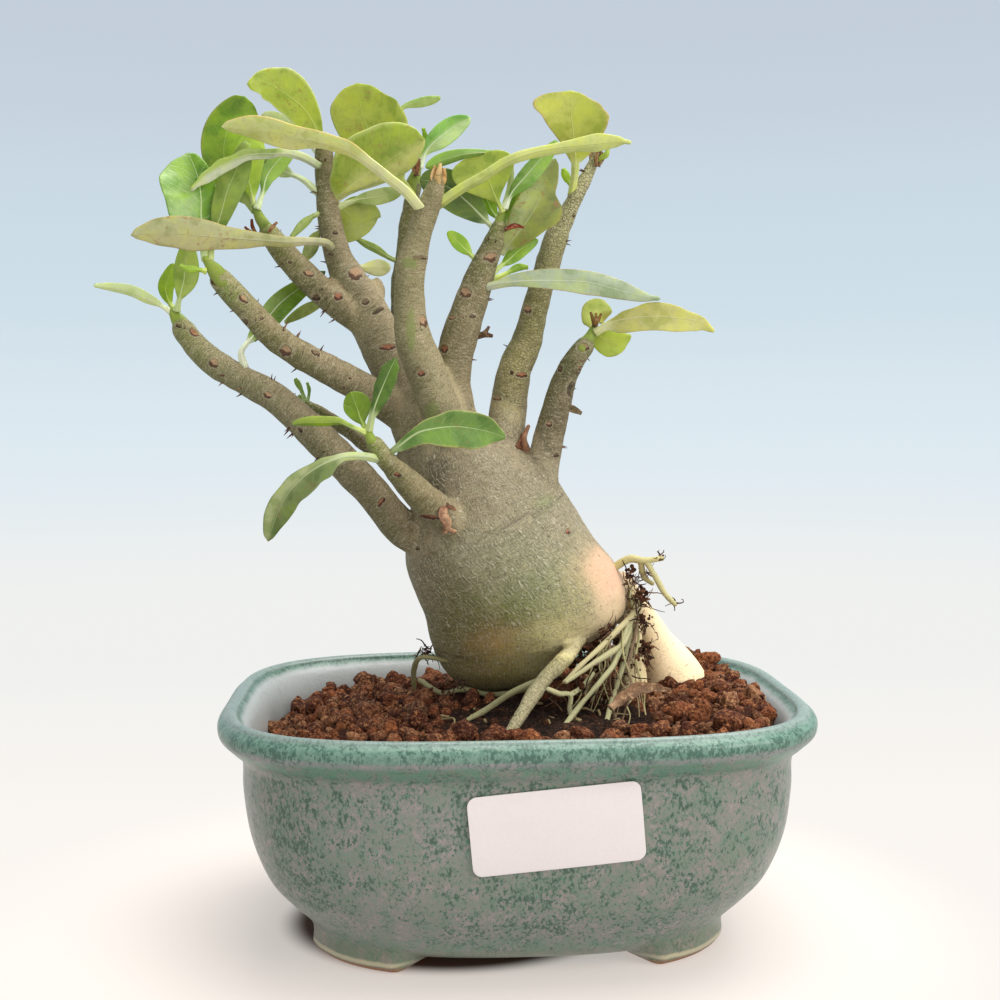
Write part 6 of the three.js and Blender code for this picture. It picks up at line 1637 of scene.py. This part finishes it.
def glaze_finish():
    """Mauve-grey glaze with sea-green clouds, dark specks in clusters, a pale turquoise lip with a smooth
    grey band on top, green runs below the lip and near the foot, a pale inside, and bare clay soles. The
    bands go by the height in mm, which wavers a little."""
    glaze = Finish("glaze")
    height = glaze.axes(glaze.place)[2] * 1000 + (glaze.grain(7, 3) - 0.5) * 1.2
    cloud = glaze.grain(6, 5, 0.6, 0.4)
    drift = glaze.grain(28, 2)
    cluster = glaze.grain(4.2, 4, 0.65, 0.3)
    slant = glaze.node("ShaderNodeMapping", None, {"Vector": glaze.place, "Rotation": (0.0, 0.5, 0.0),
                                                   "Scale": (1.0, 1.0, 0.62)})
    fleck = glaze.grain(FLECK / 1000, 2, 0.6, 0.2, slant)
    fine = glaze.grain(1.3, 4, 0.65, 0.4)
    speck = glaze.grain(0.6, 2, 0.5)
    runs = glaze.grain(2.6, 3, 0.5, 0.3, glaze.stretch(glaze.place, 1000, 1000, 260))
    green = fleck * 0.62 + cluster * 0.46 + drift * 0.2
    band = height.step(49.5, 51.5) * height.step(55, 53.8)
    mauve = height.step(53.6, 54.6) * height.step(56.4, 55.4)
    cream = height.step(1.6, 2.2) * height.step(3.4, 2.6) * height.step(60, 50)
    sole = glaze.mark("sole")
    turquoise = glaze.layers(
        "#6c8a7a",
        (fine.step(0.42, 0.62) * 0.7, "#466f5b"),
        ((fleck * 0.6 + cluster * 0.5).step(0.54, 0.6) * 0.85, "#365849"))
    within = glaze.mix(fine.step(0.55, 0.68) * 0.4, "#adb1af", "#849a90")
    smooth_top = glaze.mix(fleck.step(0.5, 0.62) * 0.5, "#8f9c96", "#55766a")
    clay = glaze.mix(glaze.grain(0.8, 3).step(0.4, 0.7) * 0.5, "#8f6038", "#6a452c")
    base = glaze.layers(
        "#867d78",
        (cloud.step(0.42, 0.62) * 0.8, "#6f7a6b"),
        (fine.step(0.44, 0.6) * 0.5, "#657a68"),
        (fine.step(0.5, 0.36) * cloud.step(0.5, 0.4) * 0.5, "#9a918a"),
        (green.step(0.63, 0.7) * 0.75, "#4f6e5a"),
        (green.step(0.69, 0.76) * 0.85, "#334b3c"),
        ((speck * 0.75 + cluster * 0.25).step(0.6, 0.65) * 0.7, "#33483c"),
        (glaze.grain(0.5, 1).step(0.7, 0.76) * 0.7, "#38332a"),
        (glaze.grain(1.0, 2).step(0.66, 0.72) * 0.5, "#3f8a74"),
        (band * runs.step(0.35, 0.6) * 0.7, "#4f8268"),
        (mauve * 0.22, "#8d8a98"),
        (height.step(54.9, 56), turquoise),
        (height.step(12, 8) * runs.step(0.38, 0.62) * 0.55, "#557a60"),
        (height.step(9, 5) * 0.35, "#6a5f48"),
        (glaze.mark("inner") * height.step(58.6, 57.2), within),
        (height.step(58.7, 59.5) * 0.7, smooth_top),
        (cream * glaze.mark("foot") * 0.6, "#cdbf9c"),
        (sole, clay))
    return glaze.feed(Base_Color=base, Roughness=fine * 0.16 + 0.24 + sole * 0.4,
                      Normal=glaze.bump(fine * 0.4 + cloud * 0.8 + speck * 0.2, 0.22))


def granule_finish():
    """Red-brown porous clay, each clod a little different, rough and pitted, with painted light and shade on
    its relief: pale tan painted highlights and a few painted glints on the high spots, painted shade in the
    low spots and pits; the crumbs among the peat are nearly as dark as the peat."""
    clay = Finish("granule_clay", Roughness=0.95, Specular_IOR_Level=0.2)
    pores = clay.cells(0.8)
    fine = clay.grain(0.9, 5, 0.7)
    grit = clay.grain(0.35, 3, 0.6)
    base = clay.layers(
        "#431e12",
        (clay.mark("tone"), "#844a2a"),
        # Painted highlights on the raised spots of the relief, then painted shade in its low spots and pits.
        (fine.step(0.5, 0.66) * 0.8, "#b87c50"),
        (fine.step(0.46, 0.34) * 0.8, "#28120c"),
        (pores.step(0.4, 0.15) * 0.85, "#240f09"),
        (clay.mark("dust") * fine.step(0.35, 0.6) * 0.55, "#b8906a"),
        # A few pale specks on raised grains: painted glints.
        (grit.step(0.68, 0.76) * 0.5, "#c39a74"),
        (clay.mark("peaty") * 0.72, "#2a1810"))
    return clay.feed(Base_Color=base, Normal=clay.bump(pores * 0.7 + fine * 0.8 + grit * 0.3, 0.8))


def peat_finish():
    """Near-black peat with brown fibres and crumbs; under the granules a dark red-brown that stands partly
    for their dust and partly for painted shade in the gaps between them.
    """
    peat = Finish("peat", Roughness=0.95, Specular_IOR_Level=0.2)
    crumb = peat.grain(1.2, 5, 0.65)
    fibre = peat.grain(1, 3, 0.6, 1.5, peat.stretch(peat.place, 260, 1500, 900))
    base = peat.layers(
        "#1a0f0a",
        (crumb.step(0.4, 0.7), "#42291c"),
        (fibre.step(0.6, 0.68) * 0.7, "#7a5236"),
        (peat.grain(0.6, 2).step(0.68, 0.76) * 0.6, "#a58a68"),
        # Under the granules: red-brown partly for their dust, darkened as painted shade in the gaps between
        # them.
        (peat.mark("grit") * crumb.step(0.3, 0.5), "#42200f"))
    return peat.feed(Base_Color=base, Normal=peat.bump(crumb + fibre * 0.5, 1.2))


def fibre_finish():
    """Dry fibres and litter: the tint kept on each, darker in patches."""
    fibre = Finish("root_fibre", Roughness=0.9, Specular_IOR_Level=0.2)
    patch = fibre.grain(2, 3)
    base = fibre.mix(patch.step(0.45, 0.62) * 0.6, fibre.mark_vector("tint"), "#2a1a12")
    return fibre.feed(Base_Color=base, Normal=fibre.bump(fibre.grain(0.3, 2), 0.1))


def paper_finish():
    """Matt white paper with a slight pink, faint fibre mottling and a soft cockle."""
    paper = Finish("paper")
    fibre = paper.grain(0.6, 3)
    base = paper.mix(fibre.step(0.35, 0.7) * 0.25, "#dfd5d2", "#d4cac7")
    return paper.feed(Base_Color=base, Roughness=fibre * 0.15 + 0.5,
                      Normal=paper.bump(fibre * 0.2 + paper.grain(9, 2), 0.06))


def dry_finish():
    """Dry, crumpled blade or scale: its tint, with darker creases, paler ridges and dark flecks."""
    dry = Finish("dry_leaf_brown", Roughness=0.75, Specular_IOR_Level=0.3)
    crease = dry.grain(1.4, 4, 0.6, 0.8)
    base = dry.layers(
        dry.mark_vector("tint"),
        (crease.step(0.5, 0.35) * 0.5, "#4a2c1e"),
        (crease.step(0.52, 0.66) * 0.5, "#c09a74"),
        (dry.grain(0.6, 2).step(0.64, 0.72) * 0.6, "#3a2218"))
    return dry.feed(Base_Color=base, Normal=dry.bump(crease, 0.4))


# ---- making ----
add_piece("glazed_pot", pot_shell(), glaze_finish(), "glaze", "pot")
add_piece("sticker", sticker_shell(), paper_finish(), "paper", "label")
add_piece("peat_plug", peat_shell(), peat_finish(), "peat", "potting_mix")
add_piece("granules", granule_shell(), granule_finish(), "granules", "grit")

BARK = bark_finish()
add_piece("wood", wood_shell(), BARK, "bark", "caudex_and_branches")
thin_roots = [limb(seen(points), 12, 0.7, seed, tint=colour(ROOT_TINTS.get(name, OTHER_ROOT_TINT)), pale=0.7,
                   scar=OFF_SCARS)
              for seed, (name, points) in enumerate(ROOTS.items()) if name not in STOUT_ROOTS]
add_piece("thin_roots", join(thin_roots + rootlets()), BARK, "bark", "caudex_and_branches")
add_piece("root_fibre", fibre_shell(), fibre_finish(), "bark", "caudex_and_branches")
DRY = dry_finish()
add_piece("dry_scales", join(scale_shells()), DRY, "dry_leaf", "caudex_and_branches")
add_piece("spines", join(thorns()), DRY, "bark", "caudex_and_branches")
add_piece("root_litter", litter_shell(), granule_finish(), "granules", "caudex_and_branches")

GREEN = leaf_finish()
for node, entries in LEAVES.items():
    shells = [leaf_shell(entry) for entry in entries]
    tip = node.removeprefix("tuft_").removesuffix("_2")
    if node.startswith("tuft_") and tip in SHOOT_TIPS:
        shells.append(tip_shell(tip))
    name = node.replace("leaf", "blade").replace("tuft", "blades")
    add_piece(name, join(shells), GREEN, "green_leaf", node)

add_piece("dry_curl", leaf_shell(DRY_LEAF), DRY, "dry_leaf", "dry_leaf")


# ---- studio ----
SENSOR = 36                    # mm
AMBIENT = 0.53
LIGHTS_AIM = (0.0, 0.0, 0.1)
# Lights: name, size, power, place in metres, tint.
LIGHTS = [
    ("overhead", 0.8, 9.5, (0.16, 0.1, 0.85), (1, 0.99, 0.97)),
    ("front_right", 0.5, 4.2, (0.62, -0.5, 0.36), (1, 0.98, 0.95)),
    ("low_front", 0.8, 3.3, (-0.1, -0.95, 0.12), (1, 0.97, 0.94)),
]
BACKDROP_SIDES = 96
BACKDROP_FLOOR = 500           # mm from the middle to where the floor starts to curve up
BACKDROP_BEND = 420            # mm, radius of that curve


def stand(thing, place, right, up, back):
    """Puts a camera or light at a place in metres, its own axes along the three directions."""
    turned = Matrix(np.vstack([right, up, back]).T.tolist()).to_4x4()
    turned.translation = place
    thing.matrix_world = turned


def add_camera():
    """Camera at the photograph's place and angle."""
    right, up, forward = camera_axes()
    lens = bpy.data.cameras.new("camera")
    lens.sensor_width = SENSOR
    lens.lens = SENSOR * FOCAL / FRAME
    camera = placed("camera", lens)
    stand(camera, (EYE + SHIFT) / 1000, right, up, -forward)
    bpy.context.scene.camera = camera


def add_backdrop():
    """Bowl: a flat floor that curves up into a round wall, pale below and light blue-grey above, with a dark
    brown painted shadow right under the pot. It only takes shadows near the pot; further out it glows by
    itself, to stay even."""
    turn = np.linspace(0, np.pi / 2, 14)
    wall_radius = BACKDROP_FLOOR + BACKDROP_BEND
    radius = np.concatenate([[1, 60, 150, 260, 380], BACKDROP_FLOOR + BACKDROP_BEND * np.sin(turn),
                             [wall_radius, wall_radius]])
    height = np.concatenate([[0] * 5, BACKDROP_BEND * (1 - np.cos(turn)), [700, 1600]])
    angle = turns(BACKDROP_SIDES)
    rings = np.stack([np.outer(radius, np.cos(angle)), np.outer(radius, np.sin(angle)),
                      np.outer(height, np.ones(BACKDROP_SIDES))], axis=-1)
    mesh = bpy.data.meshes.new("backdrop")
    faces = [list(range(BACKDROP_SIDES)), *grid_quads(len(radius), BACKDROP_SIDES).tolist()]
    mesh.from_pydata((rings.reshape(-1, 3) / 1000).tolist(), [], faces)
    mesh.polygons.foreach_set("use_smooth", [True] * len(mesh.polygons))
    wall = Finish("backdrop", Roughness=0.9)
    x, y, z = wall.axes(wall.place)
    away = (x * x + y * y) ** 0.5
    # Painted shadow: a dark brown patch on the floor right under the pot, which also takes no glow.
    under = ((x * x * 0.8 + y * y) ** 0.5).step(0.042, 0.034)
    glow = wall.layers(
        "#fbf6f1",
        (y.step(0.02, 0.42), "#f0f1ef"),
        (z.step(0.002, 0.10), "#dfeaf1"),
        (z.step(0.08, 0.25), "#cddee8"),
        (z.step(0.22, 0.46), "#c4cfdb"))
    wall.feed(Base_Color=wall.mix(under, "#f3e6dc", "#4a2a18"))
    shine = wall.node("ShaderNodeEmission", None, {"Color": glow, "Strength": 1.0})
    share = (away.step(0.06, 0.15) * 0.6 + 0.4) * (1 - under)
    lit = Value(wall, wall.shader.outputs[0])
    blend = wall.node("ShaderNodeMixShader", None, {0: share, 1: lit, 2: shine})
    wall.links.new(blend.socket, wall.nodes["Material Output"].inputs["Surface"])
    mesh.materials.append(wall.material)
    backdrop = placed("backdrop", mesh)
    backdrop.visible_shadow = False
    backdrop.visible_diffuse = False


def add_light(name, size, power, place, tint):
    """Soft square light, aimed at the plant's middle."""
    lamp = bpy.data.lights.new(name, "AREA")
    lamp.size = size
    lamp.energy = power
    lamp.color = tint
    back = unit(np.array(place) - LIGHTS_AIM)
    side = unit(np.cross((0.0, 1.0, 0.01), back))
    stand(placed(name, lamp), place, side, np.cross(back, side), back)


def add_studio():
    """Pale even surroundings and the lights: a large one overhead, and two weaker ones from the front right
    and low from the front."""
    world = bpy.data.worlds.new("studio")
    world.use_nodes = True
    surroundings = world.node_tree.nodes["Background"].inputs
    surroundings["Color"].default_value = (0.98, 0.98, 1, 1)
    surroundings["Strength"].default_value = AMBIENT
    bpy.context.scene.world = world
    bpy.context.scene.view_settings.view_transform = "Standard"
    for light in LIGHTS:
        add_light(*light)


add_camera()
add_backdrop()
add_studio()
